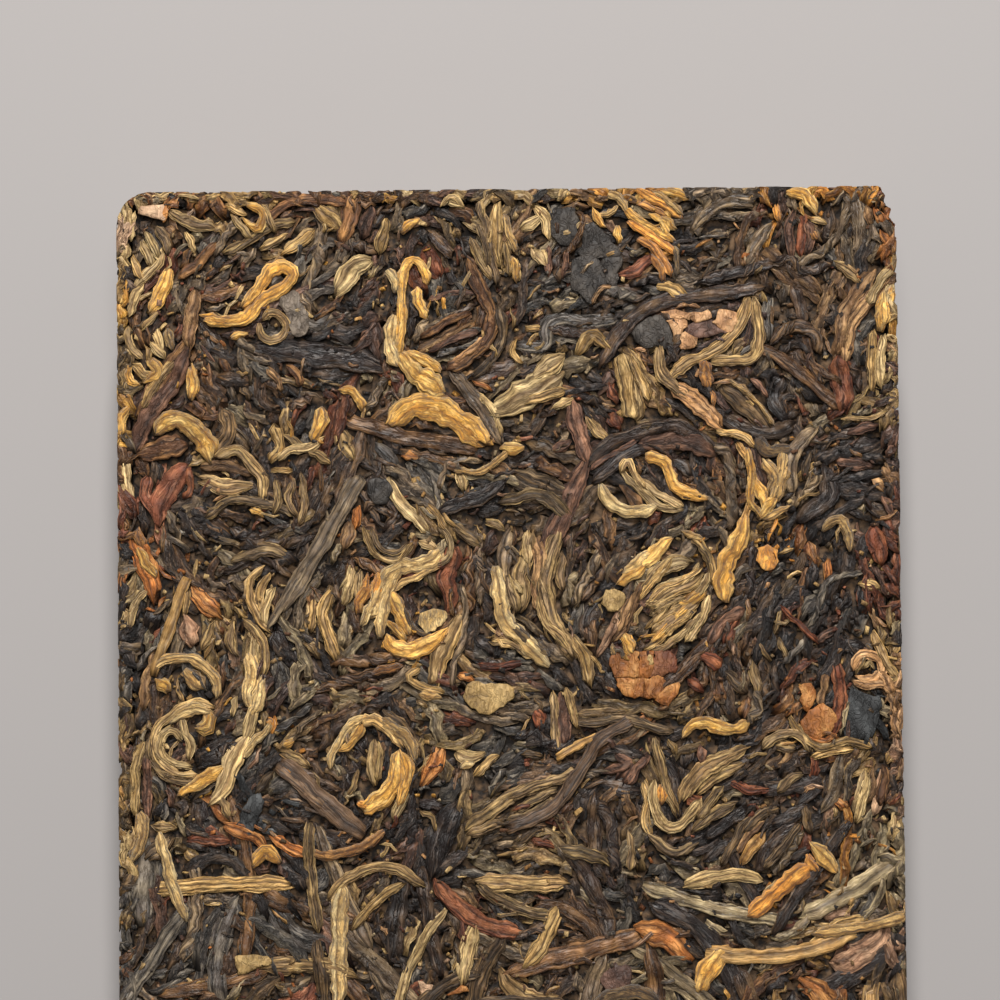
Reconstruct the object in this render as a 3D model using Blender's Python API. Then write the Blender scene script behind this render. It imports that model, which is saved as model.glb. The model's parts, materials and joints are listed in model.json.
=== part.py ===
"""A brick of black tea: twisted leaves, stalks and golden buds pressed dry in a mould.

The brick lies flat, face up, with its base on z = 0.  Its sides stand upright and its
upright corners are round, as the mould leaves them, and one corner has crumbled.
Leaves and stalks as big as the real ones lie on a slightly smaller core, and the
mould's walls press their outer sides flat.
"""

import math
import random

import bmesh
import bpy
from mathutils import Matrix, Vector

MM = 0.001

# the pressed block
WIDTH = 90 * MM
LENGTH = 140 * MM
THICK = 25 * MM
CORNER_R = 4.0 * MM
CRUMBLED_R = 6.5 * MM
RIM = 0.8 * MM

# the core under the leaves
CORE_IN_TOP = 1.45 * MM
CORE_IN_BASE = 0.9 * MM
CORE_IN_SIDE = 0.95 * MM
CORE_STEP = 5.2 * MM
CORE_ROUGH = 0.42 * MM

# leaves wider than this (half the width) are round enough for six sides, others have four
WIDE_LEAF = 1.25 * MM
FACE_COUNT = 10400
SNAP = 0.04 * MM

# one square of the face's drawing grid, its middle column and its top line
SQUARE = 90 * MM / 784
MIDDLE = 509
TOP_LINE = 188

random.seed(41)


def clear_scene():
    for obj in list(bpy.data.objects):
        bpy.data.objects.remove(obj, do_unlink=True)


def new_collection(name):
    made = bpy.data.collections.new(name)
    bpy.context.scene.collection.children.link(made)
    return made


def smooth_route(points, stations):
    """Evenly numbered stations on a smooth curve through a route's points."""
    pts = [Vector(p).to_3d() for p in points]
    pts = [pts[0] * 2 - pts[1]] + pts + [pts[-1] * 2 - pts[-2]]
    spans = len(pts) - 3
    out = []
    for i in range(stations):
        t = i * spans / (stations - 1)
        k = min(int(t), spans - 1)
        t -= k
        a, b, c, d = pts[k:k + 4]
        out.append(0.5 * (2 * b + (c - a) * t + (2 * a - 5 * b + 4 * c - d) * t * t
                          + (3 * b - a - 3 * c + d) * t * t * t))
    return out


def leaf(name, route, half_width, half_thick, place, taper=0.45):
    """A flattened, tapering tube along a route in the local XY plane."""
    curve = bpy.data.curves.new(name, 'CURVE')
    curve.dimensions = '3D'
    curve.bevel_depth = half_width
    curve.bevel_resolution = 1 if half_width > WIDE_LEAF else 0
    curve.use_fill_caps = True
    spline = curve.splines.new('POLY')
    spline.points.add(len(route) - 1)
    for i, (point, spot) in enumerate(zip(spline.points, route)):
        along = i / (len(route) - 1)
        swell = math.sin(math.pi * (0.12 + 0.76 * along)) ** 0.6
        point.co = (spot.x, spot.y, 0.0, 1.0)
        point.radius = taper + (1 - taper) * swell
    guide = bpy.data.objects.new(name + "_line", curve)
    bpy.context.scene.collection.objects.link(guide)
    guide.matrix_world = place
    bpy.context.view_layer.update()
    graph = bpy.context.evaluated_depsgraph_get()
    mesh = bpy.data.meshes.new_from_object(guide.evaluated_get(graph))
    bm = bmesh.new()
    bm.from_mesh(mesh)
    bmesh.ops.remove_doubles(bm, verts=bm.verts, dist=0.00001)
    bmesh.ops.scale(bm, vec=(1, 1, half_thick / half_width), verts=bm.verts)
    bmesh.ops.recalc_face_normals(bm, faces=bm.faces)
    bm.to_mesh(mesh)
    bm.free()
    solid = bpy.data.objects.new(name, mesh)
    solid.matrix_world = guide.matrix_world
    bpy.data.objects.remove(guide, do_unlink=True)
    leaves.objects.link(solid)
    return solid


def wall_frame(right, up, origin):
    """A frame on one wall of the brick: X runs right, Y up and Z out of the wall."""
    right, up = Vector(right), Vector(up)
    out = right.cross(up)
    turn = Matrix((right, up, out)).transposed().to_4x4()
    return Matrix.Translation(Vector(origin)) @ turn


def face_spot(column, row):
    """A point of the face from its column and row on the drawing grid."""
    return Vector(((column - MIDDLE) * SQUARE, LENGTH / 2 - (row - TOP_LINE) * SQUARE, 0))


def scatter(half_x, half_y, count, gap, taken):
    """Evenly spread middles: the freest of several random spots, one after another."""
    for _ in range(count):
        best, room = None, -1.0
        for _ in range(24):
            spot = Vector((random.uniform(-half_x, half_x), random.uniform(-half_y, half_y), 0))
            near = min([(spot - other).length for other in taken] or [gap])
            if near > room:
                best, room = spot, near
        taken.append(best)
        yield best


def bent_route(middle, length, angle, bend, stations):
    """A leaf's route: an arc about its middle, bending by the given angle in all."""
    points = []
    for i in range(stations):
        s = i / (stations - 1) - 0.5
        turn = angle + bend * s
        mean = angle + bend * s / 2
        reach = length * s
        points.append(middle + Vector((math.cos(mean), math.sin(mean), 0)) * reach
                      + Vector((-math.sin(turn), math.cos(turn), 0)) * 0.04 * length * s * s)
    return points


clear_scene()
brick_parts = new_collection("black_tea_brick")
leaves = new_collection("pressed_leaves")
moulds = new_collection("mould")

tea = bpy.data.materials.new("pressed_black_tea")
tea.use_nodes = True
shader = tea.node_tree.nodes["Principled BSDF"]
shader.inputs["Base Color"].default_value = (0.13, 0.083, 0.05, 1.0)
shader.inputs["Roughness"].default_value = 0.75
shader.inputs["Metallic"].default_value = 0.0

# the core: a block a little smaller than the brick, uneven like packed leaf
core_x = WIDTH - 2 * CORE_IN_SIDE
core_y = LENGTH - 2 * CORE_IN_SIDE
core_z = THICK - CORE_IN_TOP - CORE_IN_BASE
core_mesh = bpy.data.meshes.new("tea_brick")
bm = bmesh.new()
bmesh.ops.create_cube(bm, size=1.0)
bmesh.ops.scale(bm, vec=(core_x, core_y, core_z), verts=bm.verts)
bmesh.ops.translate(bm, vec=(0, 0, CORE_IN_BASE + core_z / 2), verts=bm.verts)
upright = [e for e in bm.edges if abs((e.verts[0].co - e.verts[1].co).z) > core_z / 2]
bmesh.ops.bevel(bm, geom=upright, offset=CORNER_R, segments=3, profile=0.5, affect='EDGES')
for axis, span in ((0, core_x), (1, core_y), (2, core_z)):
    cuts = round(span / CORE_STEP)
    for k in range(1, cuts):
        across = Vector([1.0 if i == axis else 0.0 for i in range(3)])
        low = -span / 2 if axis < 2 else CORE_IN_BASE
        if axis < 2 and min(k, cuts - k) * span / cuts < CORNER_R + 1.2 * MM:
            continue
        bmesh.ops.bisect_plane(bm, geom=bm.verts[:] + bm.edges[:] + bm.faces[:],
                               plane_co=across * (low + k * span / cuts), plane_no=across)
for vert in bm.verts:
    vert.co += Vector([random.uniform(-1, 1) for _ in range(3)]) * CORE_ROUGH
bmesh.ops.triangulate(bm, faces=[f for f in bm.faces if len(f.verts) > 4])
bm.to_mesh(core_mesh)
bm.free()
core_mesh.materials.append(tea)
brick = bpy.data.objects.new("tea_brick", core_mesh)
brick_parts.objects.link(brick)

# the leaves that stand out on the face, largest first: name, width, route on the grid
face_leaves = (
    ("wide_dark_leaf", 26, ((255, 345), (300, 352), (345, 358), (380, 365))),
    ("oval_loop_left", 22, ((330, 770), (338, 745), (358, 723), (385, 722), (408, 742))),
    ("oval_loop_right", 26, ((402, 745), (402, 775), (393, 797), (372, 812))),
    ("cream_coil_left", 24, ((452, 547), (425, 562), (395, 577), (379, 600), (377, 636))),
    ("cream_coil_base", 24, ((384, 630), (398, 650), (425, 646), (446, 620))),
    ("olive_bundle", 28, ((557, 530), (548, 565), (550, 610), (571, 655))),
    ("pale_flat_leaf", 32, ((462, 694), (480, 702), (512, 692))),
    ("large_golden_bud", 26, ((745, 522), (738, 543), (728, 565), (723, 600))),
    ("striped_leaf", 24, ((684, 800), (697, 776), (722, 760), (750, 748))),
    ("long_stalk", 20, ((360, 478), (338, 515), (318, 552), (300, 585), (272, 626))),
    ("dark_arc", 22, ((588, 468), (610, 446), (645, 434), (680, 432), (714, 446))),
    ("dark_olive_strip", 18, ((348, 419), (375, 428), (420, 440), (476, 450))),
    ("golden_tapered_bud", 22, ((392, 422), (412, 407), (440, 410), (484, 440))),
    ("flat_stalk", 30, ((488, 410), (515, 398), (545, 384), (570, 370))),
    ("broad_brown_strip", 22, ((574, 404), (586, 460), (560, 515), (545, 560), (552, 610))),
    ("golden_hook", 22, ((425, 285), (412, 260), (402, 295), (398, 345), (430, 384))),
    ("brown_arc", 20, ((468, 262), (490, 305), (484, 342), (452, 370))),
    ("long_dark_strip", 18, ((602, 362), (640, 313), (697, 295), (772, 274), (830, 262))),
    ("round_dark_flake", 50, ((578, 238), (595, 252), (603, 268))),
    ("golden_fan", 26, ((632, 200), (655, 225), (675, 258))),
    ("cracked_flake", 40, ((680, 328), (707, 328), (738, 330))),
    ("tan_stalk", 20, ((186, 582), (178, 604), (166, 640), (154, 672))),
    ("tan_fold", 24, ((622, 355), (630, 385), (640, 420))),
    ("orange_hook", 18, ((659, 350), (668, 384), (700, 404), (722, 428))),
    ("fuzzy_mass", 34, ((625, 565), (660, 550), (694, 560), (702, 600), (668, 636))),
    ("reddish_leaf", 24, ((186, 466), (165, 490), (160, 522))),
    ("brown_tan_strip", 20, ((188, 300), (185, 340), (160, 382), (137, 428))),
    ("golden_loop", 18, ((200, 318), (245, 318), (282, 290), (290, 270), (262, 276))),
    ("spiral_rim", 20, ((205, 706), (172, 716), (155, 745), (168, 776), (225, 768))),
    ("tan_upright_strip", 22, ((255, 645), (252, 700), (238, 752), (213, 800))),
    ("golden_s_strip", 17, ((683, 736), (705, 722), (738, 731), (762, 698))),
    ("slate_leaf", 30, ((215, 752), (240, 738), (262, 724))),
    ("brown_stalk_low", 26, ((282, 764), (310, 792), (345, 822), (370, 838))),
    ("brown_stalk_mid", 16, ((630, 722), (598, 742), (570, 788), (530, 825))),
    ("ribbed_pair", 22, ((560, 690), (564, 720), (566, 748))),
    ("gold_tan_strip", 18, ((497, 570), (505, 618), (548, 662))),
    ("red_brown_leaf", 36, ((828, 655), (836, 690), (826, 735))),
    ("grey_olive_leaf", 24, ((456, 806), (440, 840), (432, 880))),
    ("folded_leaf", 26, ((212, 458), (245, 462), (262, 496))),
    ("black_twist", 15, ((440, 512), (470, 502), (504, 482))),
    ("gold_tuft", 34, ((768, 446), (770, 485), (762, 520))),
    ("grey_diagonal", 15, ((760, 348), (799, 371), (841, 405))),
    ("grey_wide_leaf", 22, ((858, 196), (862, 228), (858, 262))),
    ("tan_v_leaf", 14, ((748, 298), (730, 340), (670, 380))),
    ("dark_thin_arc", 14, ((860, 573), (828, 582), (808, 628))),
    ("tan_ring", 16, ((850, 670), (868, 652), (888, 668), (870, 690))),
    ("tan_dark_strip", 16, ((792, 724), (820, 750), (868, 746))),
    ("low_striped_leaf", 18, ((748, 868), (772, 835), (806, 815))),
    ("slate_upright", 20, ((600, 800), (606, 835), (612, 880))),
    ("gold_low_strip", 14, ((312, 856), (352, 851), (384, 832))),
)
face = wall_frame((1, 0, 0), (0, 1, 0), (0, 0, THICK - 0.62 * MM))
taken = []
for name, width, route in face_leaves:
    spots = smooth_route([face_spot(*p) for p in route], 4 + len(route))
    half = width * SQUARE / 2
    lift = Matrix.Translation((0, 0, random.uniform(-0.25, 0.05) * MM))
    leaf(name, spots, half, min(0.85 * MM, 0.3 * MM + half * 0.5), face @ lift)
    taken.extend(spots)

# a broad leaf pressed flat in the middle of the base, where the brick rests
base = wall_frame((1, 0, 0), (0, -1, 0), (0, 0, 0.55 * MM))
middle_leaf = bent_route(Vector((0, 0, 0)), 20 * MM, 0.3, 0.25, 7)
leaf("base_middle_leaf", middle_leaf, 1.9 * MM, 0.85 * MM, base)

# more leaves of the same kinds where the face runs on, and on the base and the walls
walls = (
    ("face", face, 42, 68, -8, 34),
    ("base", base, 42, 67, 99, 35),
    ("right", wall_frame((0, 1, 0), (0, 0, 1), (WIDTH / 2 - 0.5 * MM, 0, 0)), 66, 11, 99, 17),
    ("left", wall_frame((0, -1, 0), (0, 0, 1), (0.5 * MM - WIDTH / 2, 0, 0)), 66, 11, 99, 17),
    ("far", wall_frame((-1, 0, 0), (0, 0, 1), (0, LENGTH / 2 - 0.5 * MM, 0)), 41, 11, 99, 10),
    ("near", wall_frame((1, 0, 0), (0, 0, 1), (0, 0.5 * MM - LENGTH / 2, 0)), 41, 11, 99, 10),
)
for wall, frame, half_x, half_y, top, count in walls:
    upright_wall = half_y < 20
    spread = {"face": taken, "base": middle_leaf}.get(wall, [])
    low_y, high_y = -half_y, min(half_y, top)
    shift = Vector((0, (low_y + high_y) / 2, 0)) * MM
    moved = [spot - shift for spot in spread]
    for n, middle in enumerate(scatter(half_x * MM, (high_y - low_y) / 2 * MM, count, 0.2, moved)):
        length = random.uniform(13, 24) * MM
        angle = random.uniform(0, math.pi)
        if upright_wall:
            angle = random.gauss(0, 0.22)
            middle.y *= 0.72
            shift = Vector((0, THICK / 2, 0))
        half = random.uniform(1.0, 1.7) * MM
        spots = bent_route(middle + shift, length, angle, random.uniform(-1.1, 1.1), 7)
        for spot in spots:
            spot.x = max(-half_x * MM, min(half_x * MM, spot.x))
            if not upright_wall:
                spot.y = max(-half_y * MM, min(half_y * MM, spot.y))
        lift = Matrix.Translation((0, 0, random.uniform(-0.2, 0.1) * MM))
        leaf("%s_leaf_%02d" % (wall, n + 1), spots, half, min(0.8 * MM, half * 0.6), frame @ lift)

# the mould: an upright block with round upright corners, one of them crumbled away
mould_mesh = bpy.data.meshes.new("mould_block")
bm = bmesh.new()
bmesh.ops.create_cube(bm, size=1.0)
bmesh.ops.scale(bm, vec=(WIDTH, LENGTH, THICK), verts=bm.verts)
bmesh.ops.translate(bm, vec=(0, 0, THICK / 2), verts=bm.verts)
for worn in (False, True):
    corners = []
    for edge in bm.edges:
        a, b = edge.verts[0].co, edge.verts[1].co
        if abs(a.z - b.z) < THICK / 2 or abs(abs(a.x) - WIDTH / 2) > MM / 100:
            continue
        if abs(abs(a.y) - LENGTH / 2) > MM / 100:
            continue
        if (a.x > 0 and a.y > 0) == worn:
            corners.append(edge)
    bmesh.ops.bevel(bm, geom=corners, offset=CRUMBLED_R if worn else CORNER_R,
                    segments=3 if worn else 5, profile=0.5, affect='EDGES')
rims = [e for e in bm.edges if abs(e.verts[0].co.z - e.verts[1].co.z) < MM / 100]
bmesh.ops.bevel(bm, geom=rims, offset=RIM, segments=2, profile=0.5, affect='EDGES')
bm.to_mesh(mould_mesh)
bm.free()
mould = bpy.data.objects.new("mould_block", mould_mesh)
mould.hide_render = True
mould.display_type = 'WIRE'
moulds.objects.link(mould)

# the leaves joined to the core, then all of it pressed to the mould's walls
join = brick.modifiers.new("press_leaves_on", 'BOOLEAN')
join.operation = 'UNION'
join.operand_type = 'COLLECTION'
join.collection = leaves
join.solver = 'MANIFOLD'
press = brick.modifiers.new("press_to_mould", 'BOOLEAN')
press.operation = 'INTERSECT'
press.object = mould
press.solver = 'MANIFOLD'
bpy.context.view_layer.update()
graph = bpy.context.evaluated_depsgraph_get()
pressed = bpy.data.meshes.new_from_object(brick.evaluated_get(graph))
brick.modifiers.clear()
for piece in list(leaves.objects):
    bpy.data.objects.remove(piece, do_unlink=True)

# one closed body: loose scraps and sealed hollows dropped
bm = bmesh.new()
bm.from_mesh(pressed)
bmesh.ops.triangulate(bm, faces=bm.faces)
unseen = set(bm.faces)
shells = []
while unseen:
    stack = [unseen.pop()]
    shell = list(stack)
    while stack:
        for edge in stack.pop().edges:
            for other in edge.link_faces:
                if other in unseen:
                    unseen.remove(other)
                    stack.append(other)
                    shell.append(other)
    shells.append(shell)
shells.sort(key=len)
for shell in shells[:-1]:
    bmesh.ops.delete(bm, geom=shell, context='FACES')
bmesh.ops.delete(bm, geom=[v for v in bm.verts if not v.link_faces], context='VERTS')
pressed_faces = len(bm.faces)
bm.to_mesh(pressed)
bm.free()
brick.data = pressed

# slivers simplified, and what then strays from the mould's flat walls set back on them
simplify = brick.modifiers.new("simplify_slivers", 'DECIMATE')
simplify.ratio = min(1.0, FACE_COUNT / pressed_faces)
bpy.context.view_layer.update()
graph = bpy.context.evaluated_depsgraph_get()
finished = bpy.data.meshes.new_from_object(brick.evaluated_get(graph))
brick.modifiers.clear()
brick.data = finished
finished.name = "tea_brick"
for vert in finished.vertices:
    for axis, low, high in ((0, -WIDTH / 2, WIDTH / 2), (1, -LENGTH / 2, LENGTH / 2), (2, 0, THICK)):
        if vert.co[axis] > high - SNAP:
            vert.co[axis] = high
        elif vert.co[axis] < low + SNAP:
            vert.co[axis] = low
finished.materials.clear()
finished.materials.append(tea)
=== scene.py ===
import json
import math

import bmesh
import bpy
import numpy as np
from mathutils import Matrix, Vector, noise

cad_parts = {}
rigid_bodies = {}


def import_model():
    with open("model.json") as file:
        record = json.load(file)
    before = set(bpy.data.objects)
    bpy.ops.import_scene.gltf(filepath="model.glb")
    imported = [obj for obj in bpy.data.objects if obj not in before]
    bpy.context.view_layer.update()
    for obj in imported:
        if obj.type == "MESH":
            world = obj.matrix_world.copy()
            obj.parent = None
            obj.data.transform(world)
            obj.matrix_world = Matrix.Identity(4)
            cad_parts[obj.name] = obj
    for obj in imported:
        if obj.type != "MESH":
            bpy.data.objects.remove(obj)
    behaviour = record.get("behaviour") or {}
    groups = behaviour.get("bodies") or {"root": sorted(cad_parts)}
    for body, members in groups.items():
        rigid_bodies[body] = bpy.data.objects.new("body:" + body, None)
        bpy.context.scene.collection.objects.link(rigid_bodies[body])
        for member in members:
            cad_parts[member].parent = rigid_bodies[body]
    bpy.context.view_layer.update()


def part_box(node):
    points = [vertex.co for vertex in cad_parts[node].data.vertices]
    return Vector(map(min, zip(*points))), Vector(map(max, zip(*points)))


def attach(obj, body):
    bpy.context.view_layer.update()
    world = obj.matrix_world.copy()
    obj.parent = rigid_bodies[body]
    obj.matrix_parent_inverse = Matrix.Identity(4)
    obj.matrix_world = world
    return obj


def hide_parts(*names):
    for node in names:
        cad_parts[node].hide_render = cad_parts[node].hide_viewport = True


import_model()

# The mould: damp rolled tea is weighed into a steel frame, pressed between two plates
# and dried.  Its flat walls set every leaf's outer side back to one plane, its corners
# are round, and the far right corner of this brick has since broken away.  Sizes are in mm.
MM = 0.001
LOW, HIGH = (np.array(corner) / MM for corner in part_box("tea_brick"))
HALF = (HIGH - LOW) / 2
MIDDLE = (HIGH + LOW) / 2
CORNER_R, BROKEN_R, RIM_R = 4.0, 1.6, 0.6
SPRING = 0.35
BREAK_WIDE, BREAK_LONG = 2.1, 5.8
BREAK = np.array([BREAK_LONG, BREAK_WIDE]) / math.hypot(BREAK_LONG, BREAK_WIDE)
BREAK_REACH = BREAK @ (HALF[:2] - (BREAK_WIDE, 0))


def press(points):
    """Sets points back inside the mould, softly over the last SPRING of travel.

    The far right corner is then set back to the ragged break.
    """
    off = points - MIDDLE
    sign = np.where(off < 0, -1.0, 1.0)
    x, y, z = np.abs(off).T
    round_r = np.where((off[:, 0] > 0) & (off[:, 1] > 0), BROKEN_R, CORNER_R)
    over_x, over_y = x - HALF[0] + round_r, y - HALF[1] + round_r
    out_x, out_y = np.maximum(over_x, 0), np.maximum(over_y, 0)
    reach = np.hypot(out_x, out_y)
    at_corner = (over_x > 0) & (over_y > 0)
    side = np.where(at_corner, reach, np.maximum(over_x, over_y)) - round_r
    safe = np.maximum(reach, 1e-6)
    nx = np.where(at_corner, out_x / safe, over_x > over_y)
    ny = np.where(at_corner, out_y / safe, over_x <= over_y)
    wall, lid = side + RIM_R, z - HALF[2] + RIM_R
    at_rim = (wall > 0) & (lid > 0)
    rim = np.maximum(np.hypot(wall, lid), 1e-6)
    depth = np.where(at_rim, rim, np.maximum(wall, lid)) - RIM_R
    share_wall = np.where(at_rim, wall / rim, wall >= lid)
    share_lid = np.where(at_rim, lid / rim, wall < lid)
    close = np.maximum(depth + SPRING, 0)
    back = close - SPRING * np.tanh(close / SPRING)
    push = np.stack([share_wall * nx, share_wall * ny, share_lid], 1) * back[:, None]
    pressed = points - push * sign
    along, up = pressed[:, 1], pressed[:, 2]
    ragged = 0.35 * np.sin(along * 3.1) * np.cos(up * 1.3) + 0.2 * np.sin(along * 7.3)
    close = np.maximum((pressed - MIDDLE)[:, :2] @ BREAK - BREAK_REACH - ragged + SPRING, 0)
    pressed[:, :2] -= BREAK * (close - SPRING * np.tanh(close / SPRING))[:, None]
    return pressed


# The floor, a plain pale sheet of paper, with one broad soft light from beyond the far
# edge, which rakes the leaves, and an even pale surround.  The camera looks almost
# straight down on the far half of the brick, as in the photograph.
PICTURE_PX = 1000
BRICK_PX = 784
PX_PER_MM = BRICK_PX / (2 * HALF[0])
FIRST_ROW, LAST_ROW = 186.5, 872
SENSOR = 36
CAMERA_FAR = 480 * MM
CAMERA_TILT = math.radians(3.0)
CAMERA_ROLL = math.radians(-0.5)
AIM_X = -1.0
PAPER_GAP = 0.02
SOFT_WHITE = (1.0, 0.985, 0.96)


def linear(hex_colour):
    """An sRGB hex colour as linear red, green and blue."""
    srgb = [int(hex_colour[i:i + 2], 16) / 255 for i in (0, 2, 4)]
    return np.array([c / 12.92 if c <= 0.04045 else ((c + 0.055) / 1.055) ** 2.4 for c in srgb])


def add_node(tree, kind, inputs=None, **settings):
    """Adds a shader node with its settings, its socket values and its links."""
    made = tree.nodes.new(kind)
    for name, value in settings.items():
        setattr(made, name, value)
    for socket, value in (inputs or {}).items():
        if isinstance(value, bpy.types.NodeSocket):
            tree.links.new(value, made.inputs[socket])
        else:
            made.inputs[socket].default_value = value
    return made


def new_material(name):
    """A new material, its node tree and its Principled BSDF."""
    made = bpy.data.materials.new(name)
    made.use_nodes = True
    return made, made.node_tree, made.node_tree.nodes["Principled BSDF"]


# uncoated paper: an even light grey with no gloss
paper, tree, shader = new_material("matte_paper_sheet")
shader.inputs["Base Color"].default_value = (*linear("a4a09f"), 1)
shader.inputs["Roughness"].default_value = 0.9
bm = bmesh.new()
bmesh.ops.create_grid(bm, x_segments=1, y_segments=1, size=1.5)
mesh = bpy.data.meshes.new("paper_sheet")
bm.to_mesh(mesh)
bm.free()
mesh.materials.append(paper)
sheet = bpy.data.objects.new("paper_sheet", mesh)
bpy.context.scene.collection.objects.link(sheet)
sheet.location.z = (LOW[2] - PAPER_GAP) * MM


def add_light(name, place, aim, wide, tall, power):
    """A soft oval light of a size in metres, turned to the spot that it is aimed at."""
    lamp = bpy.data.lights.new(name, 'AREA')
    lamp.shape = 'ELLIPSE'
    lamp.size, lamp.size_y = wide, tall
    lamp.energy = power
    lamp.color = SOFT_WHITE
    made = bpy.data.objects.new(name, lamp)
    made.location = place
    made.rotation_euler = (Vector(aim) - Vector(place)).to_track_quat('-Z', 'Y').to_euler()
    bpy.context.scene.collection.objects.link(made)


add_light("far_soft_light", (0.0, 0.5, 0.5), (0, 0.03, 0), 0.09, 0.26, 4.75)
add_light("high_fill_light", (0.0, 0.2, 0.9), (0, 0.03, 0), 0.22, 0.45, 4.35)
world = bpy.data.worlds.new("pale_surround")
world.use_nodes = True
surround = world.node_tree.nodes["Background"]
surround.inputs["Color"].default_value = (1.0, 0.99, 0.985, 1)
surround.inputs["Strength"].default_value = 0.1
bpy.context.scene.world = world
bpy.context.scene.view_settings.view_transform = 'Standard'

lens = bpy.data.cameras.new("camera")
lens.type = 'PERSP'
lens.lens = SENSOR * CAMERA_FAR * PX_PER_MM / MM / PICTURE_PX
lens.sensor_width = SENSOR
lens.clip_start = 0.01
camera = bpy.data.objects.new("camera", lens)
bpy.context.scene.collection.objects.link(camera)
aim = Vector((AIM_X, HALF[1] - (PICTURE_PX / 2 - FIRST_ROW) / PX_PER_MM, HIGH[2])) * MM
camera.matrix_world = (Matrix.Translation(aim) @ Matrix.Rotation(CAMERA_TILT, 4, 'X')
                       @ Matrix.Rotation(CAMERA_ROLL, 4, 'Z') @ Matrix.Translation((0, 0, CAMERA_FAR)))
bpy.context.scene.camera = camera


# The heart of the brick: leaf dust and broken leaf packed so tight that it reads as one
# dark, rough mass.  It shows only at the bottom of the deepest gaps between the leaves.
BED_DEPTH = 1.6
LUMPS_PER_MM, LUMP_HEIGHT = 0.55, 0.55
GRAINS_PER_MM, GRAIN_RELIEF = 0.9, 0.5
HEART_CUTS = 33

# crushed dry leaf: matte dark brown with paler grains of a millimetre
dust, tree, shader = new_material("packed_tea_dust")
place = add_node(tree, "ShaderNodeTexCoord")
grit = add_node(tree, "ShaderNodeTexNoise", {"Vector": place.outputs["Object"],
                                             "Scale": GRAINS_PER_MM / MM, "Detail": 4.0})
grit_colour = add_node(tree, "ShaderNodeValToRGB", {"Fac": grit.outputs["Fac"]})
for stop, position, colour in zip(grit_colour.color_ramp.elements, (0.42, 0.68), ("1d1611", "6b5239")):
    stop.position, stop.color = position, (*linear(colour), 1)
bump = add_node(tree, "ShaderNodeBump", {"Height": grit.outputs["Fac"], "Strength": 1.0,
                                         "Distance": GRAIN_RELIEF * MM})
tree.links.new(grit_colour.outputs["Color"], shader.inputs["Base Color"])
tree.links.new(bump.outputs["Normal"], shader.inputs["Normal"])
shader.inputs["Roughness"].default_value = 0.85

bm = bmesh.new()
bmesh.ops.create_cube(bm, size=1.0)
bmesh.ops.subdivide_edges(bm, edges=bm.edges[:], cuts=HEART_CUTS, use_grid_fill=True)
points = np.array([vert.co for vert in bm.verts]) * (2 * HALF) + MIDDLE
lumps = np.array([noise.fractal(Vector(p) * LUMPS_PER_MM, 0.6, 2.0, 3) for p in points])
inner = 1 - (BED_DEPTH - LUMP_HEIGHT * lumps)[:, None] / HALF
points = press(points)
points = MIDDLE + (points - MIDDLE) * inner
for vert, point in zip(bm.verts, points):
    vert.co = point * MM
bmesh.ops.recalc_face_normals(bm, faces=bm.faces)
mesh = bpy.data.meshes.new("packed_heart")
bm.to_mesh(mesh)
bm.free()
mesh.materials.append(dust)
mesh.shade_smooth()
heart = bpy.data.objects.new("packed_heart", mesh)
bpy.context.scene.collection.objects.link(heart)
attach(heart, "root")
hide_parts("tea_brick")


# The rolled leaf: large young leaves, withered, rolled and fired until they are dark,
# twisted strips, grooved along their length and faintly glossy.  Most of the brick is
# made of them.  Each one is laid on what is already there and then pressed.
CELL = 0.25
FAR_BELOW = -9.0


def new_wall(origin, right, up, half_u, half_v, margin):
    """One side of the brick: U runs right, V up, and depths are below the mould's plane.

    Its height map says how far up the leaves reach in each cell, and its list of how they
    lie keeps each one's middle, direction, size and colours.
    """
    right, up = np.array(right, float), np.array(up, float)
    cells = (int(2 * half_u / CELL) + 1, int(2 * half_v / CELL) + 1)
    return {"origin": np.array(origin, float), "axes": np.array([right, up, np.cross(right, up)]),
            "half": np.array([half_u, half_v]), "margin": np.array(margin), "upright": bool(up[2]),
            "height": np.full(cells, -BED_DEPTH), "lie": []}


FLAT_MARGIN, UPRIGHT_MARGIN = (0.05, 0.05), (1.0, 1.7)
face = new_wall((0, 0, HIGH[2]), (1, 0, 0), (0, 1, 0), HALF[0], HALF[1], FLAT_MARGIN)
base = new_wall((0, 0, LOW[2]), (1, 0, 0), (0, -1, 0), HALF[0], HALF[1], FLAT_MARGIN)
UPRIGHT = [new_wall((x * HALF[0], y * HALF[1], MIDDLE[2]), (-y, x, 0), (0, 0, 1),
                    HALF[1] if x else HALF[0], HALF[2], UPRIGHT_MARGIN)
           for x, y in ((1, 0), (-1, 0), (0, 1), (0, -1))]
SHOWN_EDGE = HALF[1] - (LAST_ROW - FIRST_ROW) / PX_PER_MM


def cells_at(wall, spots):
    """The height map's cell under each spot of a wall."""
    at = ((spots + wall["half"]) / CELL).astype(int)
    return tuple(np.clip(at[..., k], 0, wall["height"].shape[k] - 1) for k in (0, 1))


def face_spot(column, row):
    """The place on the face that the camera sees at a column and a row of its picture."""
    ray = Vector((column - PICTURE_PX / 2, PICTURE_PX / 2 - row, -CAMERA_FAR * PX_PER_MM / MM))
    ray = camera.matrix_world.to_3x3() @ ray
    eye = camera.matrix_world.translation
    spot = eye + ray * ((HIGH[2] * MM - eye.z) / ray.z)
    return spot.x / MM, spot.y / MM


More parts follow.
